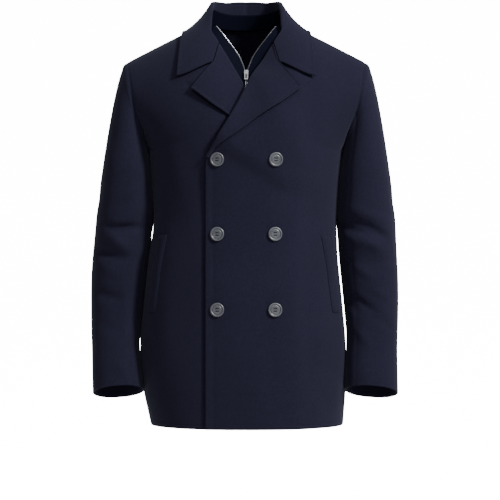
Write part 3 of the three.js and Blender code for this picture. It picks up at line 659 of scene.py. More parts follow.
def neck_point(turn):
    level = 2 - np.abs(turn) / 90
    start = 0 * turn

    def above(z):
        return torso(angle_at(NECKLINE(z), level), level)[..., 2] > z

    x = np.where(turn < 0, back_neck_x(level), NECKLINE(bisect(start - 40, start + 12, above)))
    return shoulder_at(np.where(turn < -32, 0, x), turn)


def stand_grid():
    share = np.linspace(0, STAND_END, 46)[:, None]
    seat = neck_point(NECK_TURN(share))
    foot = torso(*seat) - torso_normal(*seat) * CLOTH / 2
    normal, down = leaf_frame(share, 0 * share)
    fold, _ = leaf_roll(share, 0 * share)
    top = fold + down * 2 * SEAM
    up = unit(top - foot)
    out = unit(normal - up * np.sum(normal * up, axis=-1, keepdims=True))
    v = np.linspace(0, 1, 13)[None, :, None]
    middle = mix(foot + up * STAND_FOOT, top, v)
    out = out + 0 * middle
    return both_sides(middle + out * CLOTH / 2, out)


# Sleeve of the left arm: turn 0 on its outer side, -90 degrees in front, 180 under the arm


def armhole(turn):
    level = 2 - np.abs(turn) / np.pi
    angle = armhole_angle(level)
    return np.where(turn < 0, angle, np.pi - angle), level


def inner_x(side, z):
    height = SLEEVE(z, INNER_Z)
    return TRUNK(height, HALF_WIDTH) + ROOM[side](height)


def sleeve_ring(side, turn, z):
    outer = points(SLEEVE(z, OUTER_X), SLEEVE(z, MIDDLE_Y), z)
    inner = points(inner_x(side, z), SLEEVE(z, MIDDLE_Y), SLEEVE(z, INNER_Z))
    across, deep = power(np.cos(turn), SLEEVE_ROUND), power(np.sin(turn), SLEEVE_ROUND)
    point = mix(outer, inner, ((1 - across) / 2)[..., None])
    point[..., 1] += SLEEVE(z, HALF_DEPTH) * deep
    point[..., 2] -= SLEEVE(z, FRONT_RISE) * np.sin(turn)
    return point


def sleeve_cap(side, turn, t):
    place = armhole(turn)
    rim = torso(*place)
    ahead = np.where(turn + TURN_STEP > np.pi, -TURN_STEP, TURN_STEP)
    along = (torso(*armhole(turn + ahead)) - rim) * np.sign(ahead)[..., None]
    leave = unit(np.cross(along, torso_normal(*place)))
    top = (1 + np.cos(turn)) / 2
    start = rim + leave * 2 * SEAM
    end = sleeve_ring(side, turn, np.full(turn.shape, CAP_END))
    down = unit(sleeve_ring(side, turn, np.full(turn.shape, CAP_END - CAP_AIM)) - end)
    leave = leave * mix(CAP_LEAVE["under"], CAP_LEAVE["top"], top)[..., None]
    leave[..., 0] += CAP_LEAVE["outward"] * (1 - top)
    down = down * mix(CAP_ARRIVE["under"], CAP_ARRIVE["top"], top)[..., None]
    return hermite(t[..., None], start, end, leave, down)


# Largest folds: start turn and height, end turn and height, depth, half width; a ridge is negative
CREASES = {
    "left": [
        (-158, -368, -72, -398, 7, 12),
        (-150, -390, -80, -419, -3, 12),
        (-150, -444, -112, -457, 4, 12),
        (-165, -520, -100, -560, 4, 14),
        (-120, -430, -60, -464, 3, 16),
        (150, -395, 70, -374, 5, 15),
        (165, -452, 100, -472, 3.5, 15),
        (-20, -330, 40, -345, 2.5, 20),
    ],
    "right": [
        (-128, -379, -66, -391, 6, 11),
        (-75, -402, -97, -430, -3, 11),
        (-104, -443, -40, -430, 5, 12),
        (-98, -527, -52, -512, 4, 13),
        (-155, -350, -112, -370, 3.5, 14),
        (155, -400, 75, -370, 5, 15),
        (165, -452, 110, -470, 3.5, 15),
        (-20, -325, 35, -340, 2.5, 20),
    ],
}


# The folds fade towards the inner side of the arm, which lies against the body
FLAT_TURN = (0.1, 0.5)
SLEEVE_MARGIN = 0.35


def around_arm(rows):
    """The fold table with its turns as lengths round the arm."""
    per_degree = math.radians(CREASE_RADIUS)
    return [(u1 * per_degree, v1, u2 * per_degree, v2, deep, width) for u1, v1, u2, v2, deep, width in rows]


def sleeve_outer(side, turn, station):
    """Station 0 to 1 is the cap, and 1 to 2 the arm."""
    z = mix(CAP_END, CUFF, np.maximum(station - 1, 0))
    ring = sleeve_ring(side, turn, z)
    middle = points((SLEEVE(z, OUTER_X) + inner_x(side, z)) / 2, SLEEVE(z, MIDDLE_Y), ring[..., 2])
    pressed = smooth_step(np.pi - np.abs(turn), *FLAT_TURN)
    depth = creased(turn * CREASE_RADIUS, z, around_arm(CREASES[side])) * pressed
    arm = ring + unit(middle - ring) * depth[..., None]
    cap = sleeve_cap(side, turn, np.minimum(station, 1))
    return np.where((station <= 1)[..., None], cap, arm)


def sleeve_grid(side, first, last):
    """Panel of the sleeve between two turns in degrees; the seams run along its two sides."""
    width = math.radians(last - first) * CREASE_RADIUS
    first, last = first + SLEEVE_MARGIN, last - SLEEVE_MARGIN
    turn = np.radians(mix(first, last, spaced(width, STEP, NEAR_EDGE)))[None, :]
    turn = np.where(turn > np.pi, turn - 2 * np.pi, turn)
    cap = spaced(CAP_LENGTH, 4, NEAR_EDGE)[:-4]
    arm = 1 + spaced(CAP_END - CUFF, STEP, NEAR_EDGE)[3:]
    station = np.concatenate([cap[cap < 0.985], arm])[:, None]
    turn, station = np.broadcast_arrays(turn, station)
    point = sleeve_outer(side, turn, station)

    def beside(step):
        return sleeve_outer(side, np.clip(turn + step, -np.pi, np.pi), station)

    def below(step):
        return sleeve_outer(side, turn, np.clip(station + step, 0, 2))

    around = beside(0.02) - beside(-0.02)
    along = below(0.006) - below(-0.006)
    normal = unit(np.cross(along, around))
    rim = torso_normal(*armhole(turn))
    return point, unit(mix(rim, normal, smooth_step(station, 0, 0.06)[..., None]))


def bib_grid():
    z = np.linspace(BIB_BOTTOM, BIB_TOP, 62)[:, None]
    outer = np.minimum(np.maximum(roll_x(z), 0) + BIB_WIDTH, BIB_REACH)
    x = mix(ZIP_OPENING(z), outer, np.linspace(0, 1, 16)[None, :])
    return on_torso(*front_at(x, z), np.full(x.shape, -CLOTH - BIB_SHADE))


def band_grid():
    turn = np.linspace(BAND["start"], BAND["end"], 50)[:, None]
    seat = torso(*neck_point(turn))
    out = unit(seat * np.array([1.0, 1.0, 0.0]))
    rise = BAND["height"] * smooth_step(-turn, *BAND_TAPER) + BAND["least"]
    up = np.array([0.0, 0.0, 1.0]) - out * BAND["lean"]
    v = np.linspace(0, 1, 10)[None, :, None]
    middle = seat - out * BAND["inset"] + up * rise[..., None] * v
    out = out + 0 * middle
    return both_sides(middle + out * BIB_CLOTH / 2, out)


def welt_grid(outward, side):
    """The lean is taken off beforehand, so that the welt lies where its table says."""
    z = np.linspace(*WELT_ENDS, 40)[:, None]
    x = WELT_EDGE(z) + outward
    angle, level = front_at(x + side * lean_at(x, z), z)
    per_radian = np.linalg.norm(torso(angle + 0.1, level) - torso(angle, level), axis=-1) / 0.1
    across = WELT_WIDTH * np.linspace(0, 1, 9)[None, :] / per_radian
    angle, level = np.broadcast_arrays(angle + across, level)
    return on_torso(angle, level, np.full(angle.shape, WELT_LIFT + CLOTH))


# Materials


def shader(name, colour, roughness, **inputs):
    """A new material and its Principled shader, with the constants set on the shader's own sockets."""
    material = bpy.data.materials.new(name)
    material.use_nodes = True
    principled = material.node_tree.nodes["Principled BSDF"]
    principled.inputs["Base Color"].default_value = (*colour, 1)
    principled.inputs["Roughness"].default_value = roughness
    for key, value in inputs.items():
        principled.inputs[key.replace("_", " ")].default_value = value
    return material, principled


def node(material, kind, **settings):
    made = material.node_tree.nodes.new(kind)
    for key, value in settings.items():
        if key in made.inputs.keys():
            made.inputs[key].default_value = value
        else:
            setattr(made, key, value)
    return made


def link(material, start, end):
    material.node_tree.links.new(start, end)


def noise(material, scale, detail, place=None, roughness=0.5):
    made = node(material, "ShaderNodeTexNoise", Scale=scale, Detail=detail, Roughness=roughness)
    if place is None:
        place = node(material, "ShaderNodeTexCoord").outputs["Object"]
    link(material, place, made.inputs["Vector"])
    return made.outputs["Fac"]


def ramp(material, fac, stops):
    made = node(material, "ShaderNodeValToRGB")
    elements = made.color_ramp.elements
    while len(elements) < len(stops):
        elements.new(0.5)
    for element, (position, colour) in zip(elements, stops):
        element.position = position
        element.color = (*colour, 1)
    link(material, fac, made.inputs["Fac"])
    return made.outputs["Color"]


def bump(material, height, distance, strength, below=None):
    made = node(material, "ShaderNodeBump", Strength=strength, Distance=distance)
    link(material, height, made.inputs["Height"])
    if below is not None:
        link(material, below, made.inputs["Normal"])
    return made.outputs["Normal"]


def scaled(colour, factor):
    return tuple(part * factor for part in colour)


def mottled(material, fac, colour, dark, light, stops=(0.3, 0.7)):
    """A colour that wavers between two shares of itself."""
    return ramp(material, fac, [(stops[0], scaled(colour, dark)), (stops[1], scaled(colour, light))])


def between(material, fac, low, high):
    made = node(material, "ShaderNodeMapRange")
    link(material, fac, made.inputs["Value"])
    made.inputs["To Min"].default_value = low
    made.inputs["To Max"].default_value = high
    return made.outputs["Result"]


def feed(material, principled, **sources):
    """Links each source to the shader's socket of that name."""
    for key, source in sources.items():
        link(material, source, principled.inputs[key.replace("_", " ")])
    return material


WOOL_COLOUR = (0.0051, 0.0048, 0.0118)
# Bib colour: the cloth's own dark navy, darkened further as painted shade where the wearer's neck and head
# would shade the bib and its band
BIB_COLOUR_AND_SHADE = (0.0016, 0.0019, 0.0052)
THREAD_COLOUR = (0.0035, 0.0035, 0.0072)
HORN_COLOUR = (0.025, 0.027, 0.033)
METAL_COLOUR = (0.4, 0.41, 0.44)


def wool_material():
    """Milled melton: short matted nap over a weave that hardly shows, with a faint sheen."""
    material, principled = shader(
        "wool_melton", WOOL_COLOUR, 0.94, Sheen_Weight=0.05, Sheen_Roughness=0.5, Specular_IOR_Level=0.07
    )
    principled.inputs["Sheen Tint"].default_value = (0.42, 0.44, 0.62, 1)
    fibre = noise(material, 950, 3, roughness=0.7)
    tufts = noise(material, 260, 2)
    cloud = noise(material, 9, 3)
    tufted = mottled(material, tufts, WOOL_COLOUR, 0.85, 1.17, (0.3, 0.72))
    worn = ramp(material, cloud, [(0.35, (0.86, 0.86, 0.88)), (0.7, (1.0, 1.0, 1.0))])
    blend = node(material, "ShaderNodeMix", data_type="RGBA", blend_type="MULTIPLY")
    blend.inputs[0].default_value = 1
    link(material, tufted, blend.inputs[6])
    link(material, worn, blend.inputs[7])
    felt = bump(material, tufts, 0.0006, 0.22)
    nap = bump(material, fibre, 0.00035, 0.45, felt)
    return feed(material, principled, Base_Color=blend.outputs[2], Normal=nap)


def bib_material():
    """Smooth dark cloth of the zip-in bib, with a fine twill; its colour is partly the cloth's own dark navy
    and partly painted shade from the wearer's neck and head.
    """
    material, principled = shader(
        "bib_cloth", BIB_COLOUR_AND_SHADE, 0.8, Sheen_Weight=0.0, Sheen_Roughness=0.4, Specular_IOR_Level=0.02
    )
    place = node(material, "ShaderNodeTexCoord").outputs["Object"]
    twill = node(material, "ShaderNodeTexWave", bands_direction="DIAGONAL", Scale=330, Distortion=1.5)
    link(material, place, twill.inputs["Vector"])
    colour = mottled(material, noise(material, 700, 2), BIB_COLOUR_AND_SHADE, 0.8, 1.25)
    weave = bump(material, twill.outputs["Fac"], 0.0002, 0.3)
    return feed(material, principled, Base_Color=colour, Normal=weave)


def thread_material():
    material, principled = shader("sewing_thread", THREAD_COLOUR, 0.8, Specular_IOR_Level=0.15)
    strands = bump(material, noise(material, 1800, 1), 0.0001, 0.4)
    return feed(material, principled, Normal=strands)


def horn_material():
    """Grey moulded button with faint cloudy streaks."""
    material, principled = shader("button_horn", HORN_COLOUR, 0.4, Coat_Weight=0.18, Coat_Roughness=0.22)
    cloud = noise(material, 120, 4, roughness=0.6)
    colour = mottled(material, cloud, HORN_COLOUR, 0.8, 1.2)
    rough = between(material, cloud, 0.34, 0.5)
    grain = bump(material, noise(material, 900, 2), 0.00005, 0.25)
    return feed(material, principled, Base_Color=colour, Roughness=rough, Normal=grain)


def metal_material():
    """Polished nickel of the zip, slightly brushed."""
    material, principled = shader("zip_nickel", METAL_COLOUR, 0.28, Metallic=1)
    scratch = noise(material, 600, 3, roughness=0.7)
    rough = between(material, scratch, 0.2, 0.38)
    return feed(material, principled, Roughness=rough, Normal=bump(material, scratch, 0.00004, 0.2))


FINISHES = {"wool": wool_material(), "bib": bib_material()}
THREAD = thread_material()
FINISHES.update(button=horn_material(), zip=metal_material())
THICKNESS = {"wool": CLOTH, "bib": BIB_CLOTH}


def dress(piece, slot, *nodes, material=None, body=COAT):
    piece.data.materials.append(material or FINISHES[slot])
    if nodes:
        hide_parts(*nodes)
    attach(piece, body)
    return piece


# Small parts placed on a surface: a frame is a point with three directions

SHARP = math.radians(38)


def lathe(profile, sides):
    """Closed turned shape about the third axis, from radius and height pairs with both ends on it."""
    turns = np.linspace(0, 2 * np.pi, sides, endpoint=False)
    rings = [(r, h) for r, h in profile if r > 0]
    verts = [(0, 0, profile[0][1])]
    verts += [(r * math.cos(t), r * math.sin(t), h) for r, h in rings for t in turns]
    verts.append((0, 0, profile[-1][1]))
    faces = []
    for k in range(len(rings) - 1):
        for i in range(sides):
            j = (i + 1) % sides
            low, high = 1 + k * sides, 1 + (k + 1) * sides
            faces.append((low + i, low + j, high + j, high + i))
    last = 1 + (len(rings) - 1) * sides
    for i in range(sides):
        j = (i + 1) % sides
        faces.append((0, 1 + j, 1 + i))
        faces.append((last + i, last + j, len(verts) - 1))
    return np.array(verts, float), faces


def cut_out(piece, cutter):
    """Cuts one closed object out of another and keeps the result as the first one's mesh."""
    change = piece.modifiers.new("cut", "BOOLEAN")
    change.object, change.operation, change.solver = cutter, "DIFFERENCE", "EXACT"
    done = bpy.data.meshes.new_from_object(piece.evaluated_get(bpy.context.evaluated_depsgraph_get()))
    piece.modifiers.clear()
    piece.data = done
    bpy.data.objects.remove(cutter)


def rounded(piece, width, segments=2):
    change = piece.modifiers.new("soft_edges", "BEVEL")
    change.width, change.segments = width * MM, segments
    change.limit_method, change.angle_limit = "ANGLE", math.radians(40)
    return piece


def capsule(length, radius, sides=8):
    """Short rounded bar along the first axis."""
    ends = [(0.0, 0.0), (0.12, 0.6), (0.35, 0.9), (1.0, 1.0)]
    profile = [(r * radius, -length / 2 + a * radius) for a, r in ends]
    profile += [(r * radius, length / 2 - a * radius) for a, r in reversed(ends)]
    verts, faces = lathe(profile, sides)
    return verts[:, [2, 0, 1]], faces


def placed(name, shape, frames):
    """One mesh of a shape repeated at each frame: its place and its first, second and third axes."""
    verts, faces = shape
    everything, all_faces = [], []
    for k, (place, first, second, third) in enumerate(frames):
        everything.append(place + verts @ np.array([first, second, third]))
        all_faces += [[k * len(verts) + i for i in face] for face in faces]
    piece = make_object(name, np.concatenate(everything), all_faces)
    piece.data.set_sharp_from_angle(angle=SHARP)
    return piece


def path_frames(path, normal, pitch, start):
    """Frames a pitch apart along a line of points: along it, beside it and out of the cloth."""
    steps = np.linalg.norm(np.diff(path, axis=0), axis=-1)
    run = np.concatenate([[0], np.cumsum(steps)])
    at = np.arange(start, run[-1], pitch)

    def resampled(values, where):
        return np.stack([np.interp(where, run, values[:, k]) for k in range(3)], axis=-1)

    place, out = resampled(path, at), unit(resampled(normal, at))
    along = resampled(path, at + pitch / 4) - resampled(path, at - pitch / 4)
    along = unit(along - out * np.sum(along * out, axis=-1, keepdims=True))
    return list(zip(place, along, np.cross(out, along), out))


def line_at(grid, normal, side, distance, rows=slice(None)):
    """The line on a panel at a distance from one of its sides."""
    far = distances(grid)[side]
    if side in ("low", "high"):
        far, grid, normal = far.T, grid.transpose(1, 0, 2), normal.transpose(1, 0, 2)
    if side in ("right", "high"):
        far, grid, normal = far[:, ::-1], grid[:, ::-1], normal[:, ::-1]
    far, grid, normal = far[rows], grid[rows], normal[rows]

    def along(values):
        return np.array([[np.interp(distance, f, row[:, k]) for k in range(3)] for f, row in zip(far, values)])

    return along(grid), unit(along(normal))


STITCH = {"pitch": 3.6, "length": 2.9, "radius": 0.26, "sunk": 0.1}


def stitches(name, path, out):
    frames = path_frames(leaned(path - out * STITCH["sunk"]), out, STITCH["pitch"], STITCH["pitch"] / 2)
    dress(placed(name, capsule(STITCH["length"], STITCH["radius"]), frames), "wool", material=THREAD)


# Relief of the cloth: edge pressing, stitched channels and worn folds, in millimetres

EDGE_STRIP = 13.5
EDGE_STITCH = 6.5
WELT_STITCH = 4.0

# Start x and z, end x and z, depth and half width of soft troughs on the front panels
FRONT_FOLDS = [
    (120, -230, 70, -330, 1.6, 20),
    (150, -300, 118, -420, 1.5, 22),
    (110, -470, 130, -700, 1.8, 26),
    (40, -560, 52, -740, 1.4, 22),
    (165, -560, 150, -740, 1.6, 22),
    (10, -300, -20, -380, 1.2, 18),
    (120, -110, 95, -190, 1.4, 18),
]
BACK_FOLDS = [
    (60, -150, 30, -300, 2.2, 24),
    (130, -170, 95, -300, 2.4, 22),
    (150, -330, 60, -372, 2.6, 24),
    (140, -400, 40, -420, 2.2, 22),
    (70, -450, 85, -720, 3.0, 30),
    (140, -480, 155, -730, 2.6, 28),
    (12, -420, 22, -700, 1.8, 22),
]


# Troughs in cloth under another piece's edge: start x and z, end x and z, depth, half width
UNDER_EDGES = {
    "front_left": [
        (118, -112, 100, -119, 1.6, 3.5),
        (100, -119, -30, -209, 2.2, 3.5),
        (105, -90, 130, -98, 3.0, 4),
    ],
    "front_right": [
        (112, -114, 40, -168, 4.5, 5),
        (10, -140, 72, -246, 5.0, 5),
        (74, -246, 74, -780, 4.0, 4.5),
        (62, -65, 130, -94, 3.0, 4),
    ],
    "lapel_left": [(62, -66, 118, -88, 4.5, 5)],
    "lapel_right": [
        (58, -64, 110, -84, 3.4, 4.5),
        (-2, -112, 40, -178, 4.5, 5),
    ],
}
EDGE_RISE = {"front": 1.3, "lapel": 1.2}
WELT_SUNK = 2.0


def edge_rise(far, width, height):
    """The stitched strip along an edge is thicker and rises towards it."""
    return height * (1 - smooth_step(far, 1.5, width))


def stitched_strip(grid):
    """Strip and channel along the outer edge of a lapel or of the collar's leaf."""
    far = distances(grid)["right"]
    return edge_rise(far, EDGE_STITCH, EDGE_RISE["lapel"]) - groove(far, 0.5, 1.2, EDGE_STITCH)


def under_edges(grid, piece):
    return creased(grid[..., 0], grid[..., 2], UNDER_EDGES[piece])


def front_relief(grid, side):
    far = distances(grid)
    x, z = grid[..., 0], grid[..., 2]
    strip = edge_rise(far["left"], EDGE_STRIP, EDGE_RISE["front"]) * smooth_step(-z, 210, 260)
    channel = groove(far["left"], 0.7, 1.6, EDGE_STRIP) * (z < -40)
    folds = creased(x, z, FRONT_FOLDS) * smooth_step(far["left"], 4, 40) * smooth_step(far["low"], 0, 30)
    armhole_seam = groove(far["right"], 0.8, 3) * smooth_step(z, ARMPIT - 10, ARMPIT + 20)
    seams = groove(far["right"], 0.5, 5) + groove(far["low"], 0.4, 3) + armhole_seam
    calm = 1 - 0.75 * smooth_step(z, -250, -60)
    return strip - channel - folds * calm - seams - under_edges(grid, f"front_{side}")


def back_relief(grid):
    far = distances(grid)
    x, z = grid[..., 0], grid[..., 2]
    folds = creased(x, z, BACK_FOLDS) * smooth_step(far["left"], 0, 25) * smooth_step(far["low"], 0, 30)
    seams = groove(far["left"], 0.7, 5) + groove(far["right"], 0.5, 5)
    return -folds * smooth_step(far["right"], 0, 25) - seams


# Finer sleeve folds: start turn and height, end turn and height, depth (a ridge is negative), half width
HIDDEN_FOLDS = [
    (60, -340, 120, -400, 2.6, 12),
    (40, -420, 112, -450, 2.4, 11),
    (70, -480, 130, -540, 2.4, 12),
    (60, -590, 118, -630, 1.8, 12),
    (10, -430, 30, -600, 1.2, 22),
    (190, -360, 205, -400, 2.2, 11),
    (195, -440, 215, -470, 2.2, 12),
    (190, -540, 210, -520, 1.8, 12),
    (20, -180, 70, -250, 1.5, 18),
]
SLEEVE_FOLDS = {
    "left": HIDDEN_FOLDS + [
        (-126, -368, -92, -384, 5.5, 6),
        (-92, -384, -56, -408, 5.0, 6.5),
        (-118, -350, -60, -372, -3.2, 9),
        (-104, -404, -70, -428, -3.2, 8),
        (-62, -448, -28, -456, 2.4, 7),
        (-128, -452, -84, -486, -3.0, 8),
        (-96, -496, -58, -524, -2.2, 9),
        (-126, -520, -90, -548, 5.2, 8),
        (-84, -560, -50, -580, 2.2, 9),
        (-130, -578, -96, -612, -2.4, 9),
        (-70, -610, -110, -646, 2.0, 11),
        (-60, -300, -96, -330, 2.2, 12),
        (-48, -150, -72, -240, 1.6, 14),
    ],
    "right": HIDDEN_FOLDS + [
        (-76, -386, -132, -384, 5.0, 6),
        (-58, -378, -78, -386, 3.4, 6.5),
        (-72, -398, -104, -428, -4.0, 8),
        (-40, -432, -100, -444, 4.0, 7.5),
        (-52, -456, -92, -478, -1.8, 9),
        (-50, -512, -98, -524, 2.6, 8),
        (-104, -500, -118, -600, -2.2, 9),
        (-60, -570, -100, -586, 1.8, 10),
        (-96, -640, -118, -680, -1.8, 9),
        (-60, -640, -40, -690, 1.6, 12),
        (-108, -330, -74, -350, 2.4, 10),
        (-50, -170, -74, -250, 1.6, 14),
    ],
}
PRESSED_HEIGHTS = (222.0, 236.0, 340.0, 365.0)


def sleeve_relief(grid, side, first, last):
    far = distances(grid)
    share = far["left"] / (far["left"] + far["right"])
    turn = mix(first, last, share)
    height = grid[..., 2]
    rows = around_arm(SLEEVE_FOLDS[side])
    per_degree = math.radians(CREASE_RADIUS)
    folds = creased(turn * per_degree, height, rows)
    around = [creased((turn + lap) * per_degree, height, rows) for lap in (-360, 360)]
    hold = smooth_step(far["low"], 0, 20) * smooth_step(far["high"], 0, 12)
    hold = hold * smooth_step(np.abs(turn - 180), *np.degrees(FLAT_TURN))
    seams = groove(far["left"], 0.7, 5) + groove(far["right"], 0.7, 5)
    head = groove(far["low"], 1.1, 2.4) - groove(far["low"], 0.9, 6, 9)
    start, full, leave, end = PRESSED_HEIGHTS
    beside = smooth_step(-height, start, full) * (1 - smooth_step(-height, leave, end))
    against = groove(turn, 1.3, 18, 180) * beside
    return against - (folds + sum(around)) * hold - seams - head * (1 - beside)


def raised(grid, normal, relief):
    return grid + normal * relief[..., None], normal


def cloth(node, slot, grid, normal, held="hung"):
    """One cut piece in place of its CAD node, and named after it."""
    piece = cloth_mesh(f"cloth_{node}".replace("pocket_", ""), grid, normal, THICKNESS[slot])
    dress(piece, slot, node)


LIFTS = {"left": left_lift, "right": no_lift}
WIDE_LAPEL = 30
SLEEVE_PANELS = (("top", -125, 115), ("under", 115, 235))
WELTS = (("left", 0, 1), ("right", 9, -1))
WELT_SIDES = ("left", "low", "high")


def make_body():
    for side, lift in LIFTS.items():
        grid, normal = front_grid(lift)
        grid, normal = on_side(side, *raised(grid, normal, front_relief(grid, side)))
        back, back_normal = back_grid()
        back, back_normal = on_side(side, *raised(back, back_normal, back_relief(back)))
        cloth(f"front_{side}", "wool", grid, normal)
        below_roll = np.flatnonzero(grid[:, 0, 2] < ROLL_BOTTOM[1])
        stitches(f"edge_stitches_{side}", *line_at(grid, normal, "left", EDGE_STRIP, below_roll))
        cloth(f"back_{side}", "wool", back, back_normal)


def make_collar():
    for side, lift in LIFTS.items():
        grid, normal = lapel_grid(lift)
        relief = stitched_strip(grid) - under_edges(grid, f"lapel_{side}")
        grid, normal = on_side(side, *raised(grid, normal, relief))
        cloth(f"lapel_{side}", "wool", grid, normal, "folded")
        wide = np.flatnonzero(distances(grid)["left"][:, -1] > WIDE_LAPEL)
        stitches(f"lapel_stitches_{side}", *line_at(grid, normal, "right", EDGE_STITCH, wide))
    grid, normal = leaf_grid()
    grid, normal = raised(grid, normal, stitched_strip(grid))
    cloth("collar_leaf", "wool", grid, normal, "folded")
    stitches("collar_stitches", *line_at(grid, normal, "right", EDGE_STITCH, slice(3, -3)))
    cloth("collar_stand", "wool", *stand_grid(), "stretched")


def make_sleeves():
    for side in LIFTS:
        for part, first, last in SLEEVE_PANELS:
            grid, normal = sleeve_grid(side, first, last)
            grid, normal = on_side(side, *raised(grid, normal, sleeve_relief(grid, side, first, last)))
            cloth(f"sleeve_{side}_{part}", "wool", grid, normal)


def make_bib():
    grid, normal = bib_grid()
    for side in LIFTS:
        cloth(f"bib_{side}", "bib", *on_side(side, grid, normal))
    cloth("bib_band", "bib", *band_grid(), "stretched")


def make_pockets():
    for side, outward, hand in WELTS:
        grid, normal = welt_grid(outward, hand)
        far = distances(grid)
        line = sum(groove(far[edge], 0.45, 1, WELT_STITCH) for edge in WELT_SIDES)
        sunk = sum(edge_rise(far[edge], 5, WELT_SUNK) for edge in WELT_SIDES)
        grid, normal = on_side(side, *raised(grid, normal, -line - np.minimum(sunk, WELT_SUNK)))
        cloth(f"pocket_welt_{side}", "wool", grid, normal, "laid")
        for edge in WELT_SIDES:
            stitches(f"welt_stitches_{side}_{edge}", *line_at(grid, normal, edge, WELT_STITCH))


make_body()
make_collar()
make_sleeves()
make_bib()
make_pockets()

# Buttons: radius and height of the turned profile in shares of the radius and millimetres
BUTTON_RINGS = [
    (0, 0.0), (0.84, 0.0), (0.93, 0.25), (0.985, 0.9), (1.0, 1.6), (0.99, 2.5), (0.955, 3.2),
    (0.9, 3.55), (0.84, 3.6), (0.785, 3.4), (0.755, 2.95), (0.735, 2.35), (0.71, 1.95), (0.675, 1.85),
    (0.645, 2.0), (0.62, 2.35), (0.585, 2.55), (0.52, 2.55), (0.4, 2.42), (0.2, 2.38), (0, 2.36),
]
BUTTON_GAP = 0.8
BUTTON_SIDES = 72
HOLE_REACH, HOLE_RADIUS, HOLE_SIDES = 2.5, 0.95, 20
DRILL = (-1, 6)
STRAND = {"radius": 0.36, "beyond": 1.3, "pitch": 0.42, "height": 2.55, "heap": 0.16, "slant": 0.05}


def button_frame(x, z):
    """Where a button sits, with its axes: across, up and out."""
    angle, level = front_at(x, z)
    out = torso_normal(angle, level)
    lift = float(left_lift(np.array(x), np.array(z)))
    across = unit(np.cross([0.0, 0.0, 1.0], -out))
    return torso(angle, level) + out * (lift + BUTTON_GAP), across, np.cross(out, across), out


def button_threads(number, frame):
    """Two bars of three strands across the holes, the middle strand on top."""
    place, across, up, out = frame
    frames = []
    for hole in (-HOLE_REACH, HOLE_REACH):
        along = unit(across + up * STRAND["slant"] * (hole > 0))
        for strand in (-1, 0, 1):
            rise = STRAND["height"] + STRAND["heap"] * (strand == 0)
            frames.append((place + up * (hole + strand * STRAND["pitch"]) + out * rise, along, up, out))
    bar = capsule(2 * HOLE_REACH + STRAND["beyond"], STRAND["radius"])
    dress(placed(f"button_thread_{number}", bar, frames), "button", material=THREAD)


def make_button(number, x, z):
    frame = button_frame(x, z)
    place, across, up, out = frame
    profile = [(r * BUTTON_RADIUS, h) for r, h in BUTTON_RINGS]
    piece = placed(f"horn_button_{number}", lathe(profile, BUTTON_SIDES), [frame])
    low, high = DRILL
    drill = lathe([(0, low), (HOLE_RADIUS, low), (HOLE_RADIUS, high), (0, high)], HOLE_SIDES)
    holes = [(a * HOLE_REACH, b * HOLE_REACH) for a in (-1, 1) for b in (-1, 1)]
    cut_out(piece, placed("drill", drill, [(place + across * a + up * b, across, up, out) for a, b in holes]))
    rounded(piece, 0.2)
    dress(piece, "button", f"button_{number}")
    button_threads(number, frame)


for row, z in enumerate(BUTTON_ROWS):
    for column, x in enumerate((BUTTON_X, -BUTTON_X)):
        make_button(2 * row + column + 1, x, z)

# Zip: teeth on both edges of the bib, parted above the slider and meshed under it
TOOTH = {"pitch": 2.1, "length": 2.1, "radius": 0.42, "proud": 0.25, "reach": 0.2}
ZIP_JOIN = 0.9
SLIDER_REACH, ZIP_BELOW = 4, 6
TOOTH_RUNS = (
    (SLIDER_Z + SLIDER_REACH, BIB_TOP, TOOTH["reach"]),
    (CROSSING - ZIP_BELOW, SLIDER_Z - SLIDER_REACH, -ZIP_JOIN),
)


def zip_edge(low, high):
    """Line along the bib's edge with the normals of its cloth."""
    z = np.linspace(low, high, 60)
    return on_torso(*front_at(ZIP_OPENING(z), z), np.full(z.shape, -CLOTH - BIB_SHADE))


def make_teeth(side, flip):
    frames = []
    for low, high, shift in TOOTH_RUNS:
        path, normal = zip_edge(low, high)
        if flip:
            path, normal = mirror(path, normal)
        start = TOOTH["pitch"] * (1 if flip else 0.5)
        for place, along, beside, out in path_frames(path, normal, TOOTH["pitch"], start):
            inward = beside * -np.sign(beside[0]) * (-1 if flip else 1)
            frames.append((place + inward * shift + out * TOOTH["proud"], inward, along, out))
    dress(placed(f"zip_teeth_{side}", capsule(TOOTH["length"], TOOTH["radius"]), frames), "zip")


def softened_copy(name, node, width, body):
    """The CAD shape again with its edges rounded off."""
    piece = bpy.data.objects.new(name, frame["nodes"][node].data.copy())
    bpy.context.scene.collection.objects.link(piece)
    piece.data.materials.clear()
    piece.data.shade_smooth()
    piece.data.set_sharp_from_angle(angle=SHARP)
    dress(rounded(piece, width, 3), "zip", node, body=body)


make_teeth("left", False)
make_teeth("right", True)
softened_copy("zip_slider_body", "zip_slider", 0.3, COAT)
softened_copy("zip_pull_tab", "zip_pull", 0.25, PULL)


# Studio


FLOOR = {"z": -1.9, "reach": 14.0, "colour": 0.8}
WALL = {"y": 6.5, "side": 1.9, "top": 2.2, "colour": 0.9, "glow": 14}
MIDDLE = (0, 0, -0.38)

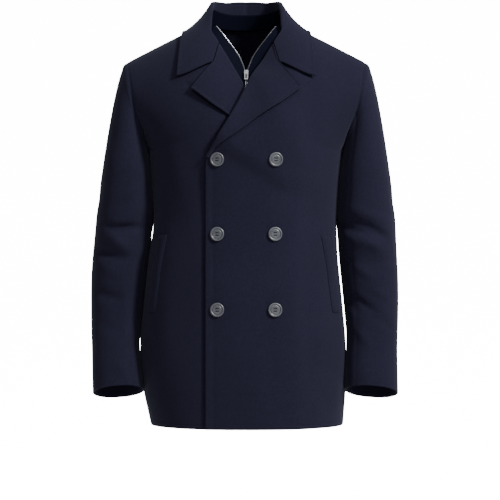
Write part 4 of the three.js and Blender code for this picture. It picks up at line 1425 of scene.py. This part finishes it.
# Name, place, target, diameter and watts of each lamp
LAMPS = (
    ("key_light", (2.6, -2.35, 2.1), MIDDLE, 0.7, 450),
    ("fill_light", (-0.2, -2.9, 1.6), (0, 0, -0.2), 1.2, 40),
    ("top_light", (0.9, -1.2, 2.4), MIDDLE, 1.0, 22),
)
AIR_GLOW = 0.6
CAMERA = {"place": (0.0072, -4.0, -0.429), "lens": 147.7, "film": 36}


def stage_plane(name, corners, colour, glow=0):
    plane = make_object(name, np.array(corners) / MM, [(0, 1, 2, 3)])
    material, principled = shader(name, (colour,) * 3, 0.9, Emission_Strength=glow, Specular_IOR_Level=0.1)
    principled.inputs["Emission Color"].default_value = (1, 1, 1, 1)
    plane.data.materials.append(material)


def make_stage():
    """Pale floor well below the coat, and a white wall far behind it."""
    low, reach = FLOOR["z"], FLOOR["reach"]
    ground = [(-reach, -reach, low), (reach, -reach, low), (reach, reach, low), (-reach, reach, low)]
    stage_plane("studio_floor", ground, FLOOR["colour"])
    y, side, top = WALL["y"], WALL["side"], WALL["top"]
    upright = [(-side, y, low), (side, y, low), (side, y, top), (-side, y, top)]
    stage_plane("studio_wall", upright, WALL["colour"], WALL["glow"])


def add_object(name, data):
    made = bpy.data.objects.new(name, data)
    bpy.context.scene.collection.objects.link(made)
    return made


def make_lights():
    for name, place, target, size, watts in LAMPS:
        lamp = bpy.data.lights.new(name, "AREA")
        lamp.shape, lamp.size, lamp.energy = "DISK", size, watts
        light = add_object(name, lamp)
        light.location = place
        aim = np.array(target) - np.array(place)
        tilt = math.atan2(math.hypot(aim[0], aim[1]), -aim[2])
        light.rotation_euler = (tilt, 0, math.atan2(aim[1], aim[0]) - math.pi / 2)
    world = bpy.data.worlds.new("studio_air")
    world.use_nodes = True
    air = world.node_tree.nodes["Background"]
    air.inputs["Color"].default_value = (1, 1, 1, 1)
    air.inputs["Strength"].default_value = AIR_GLOW
    bpy.context.scene.world = world


def make_camera():
    data = bpy.data.cameras.new("camera")
    data.lens, data.sensor_width = CAMERA["lens"], CAMERA["film"]
    camera = add_object("camera", data)
    camera.location = CAMERA["place"]
    camera.rotation_euler = (math.pi / 2, 0, 0)
    bpy.context.scene.camera = camera


make_stage()
make_lights()
make_camera()
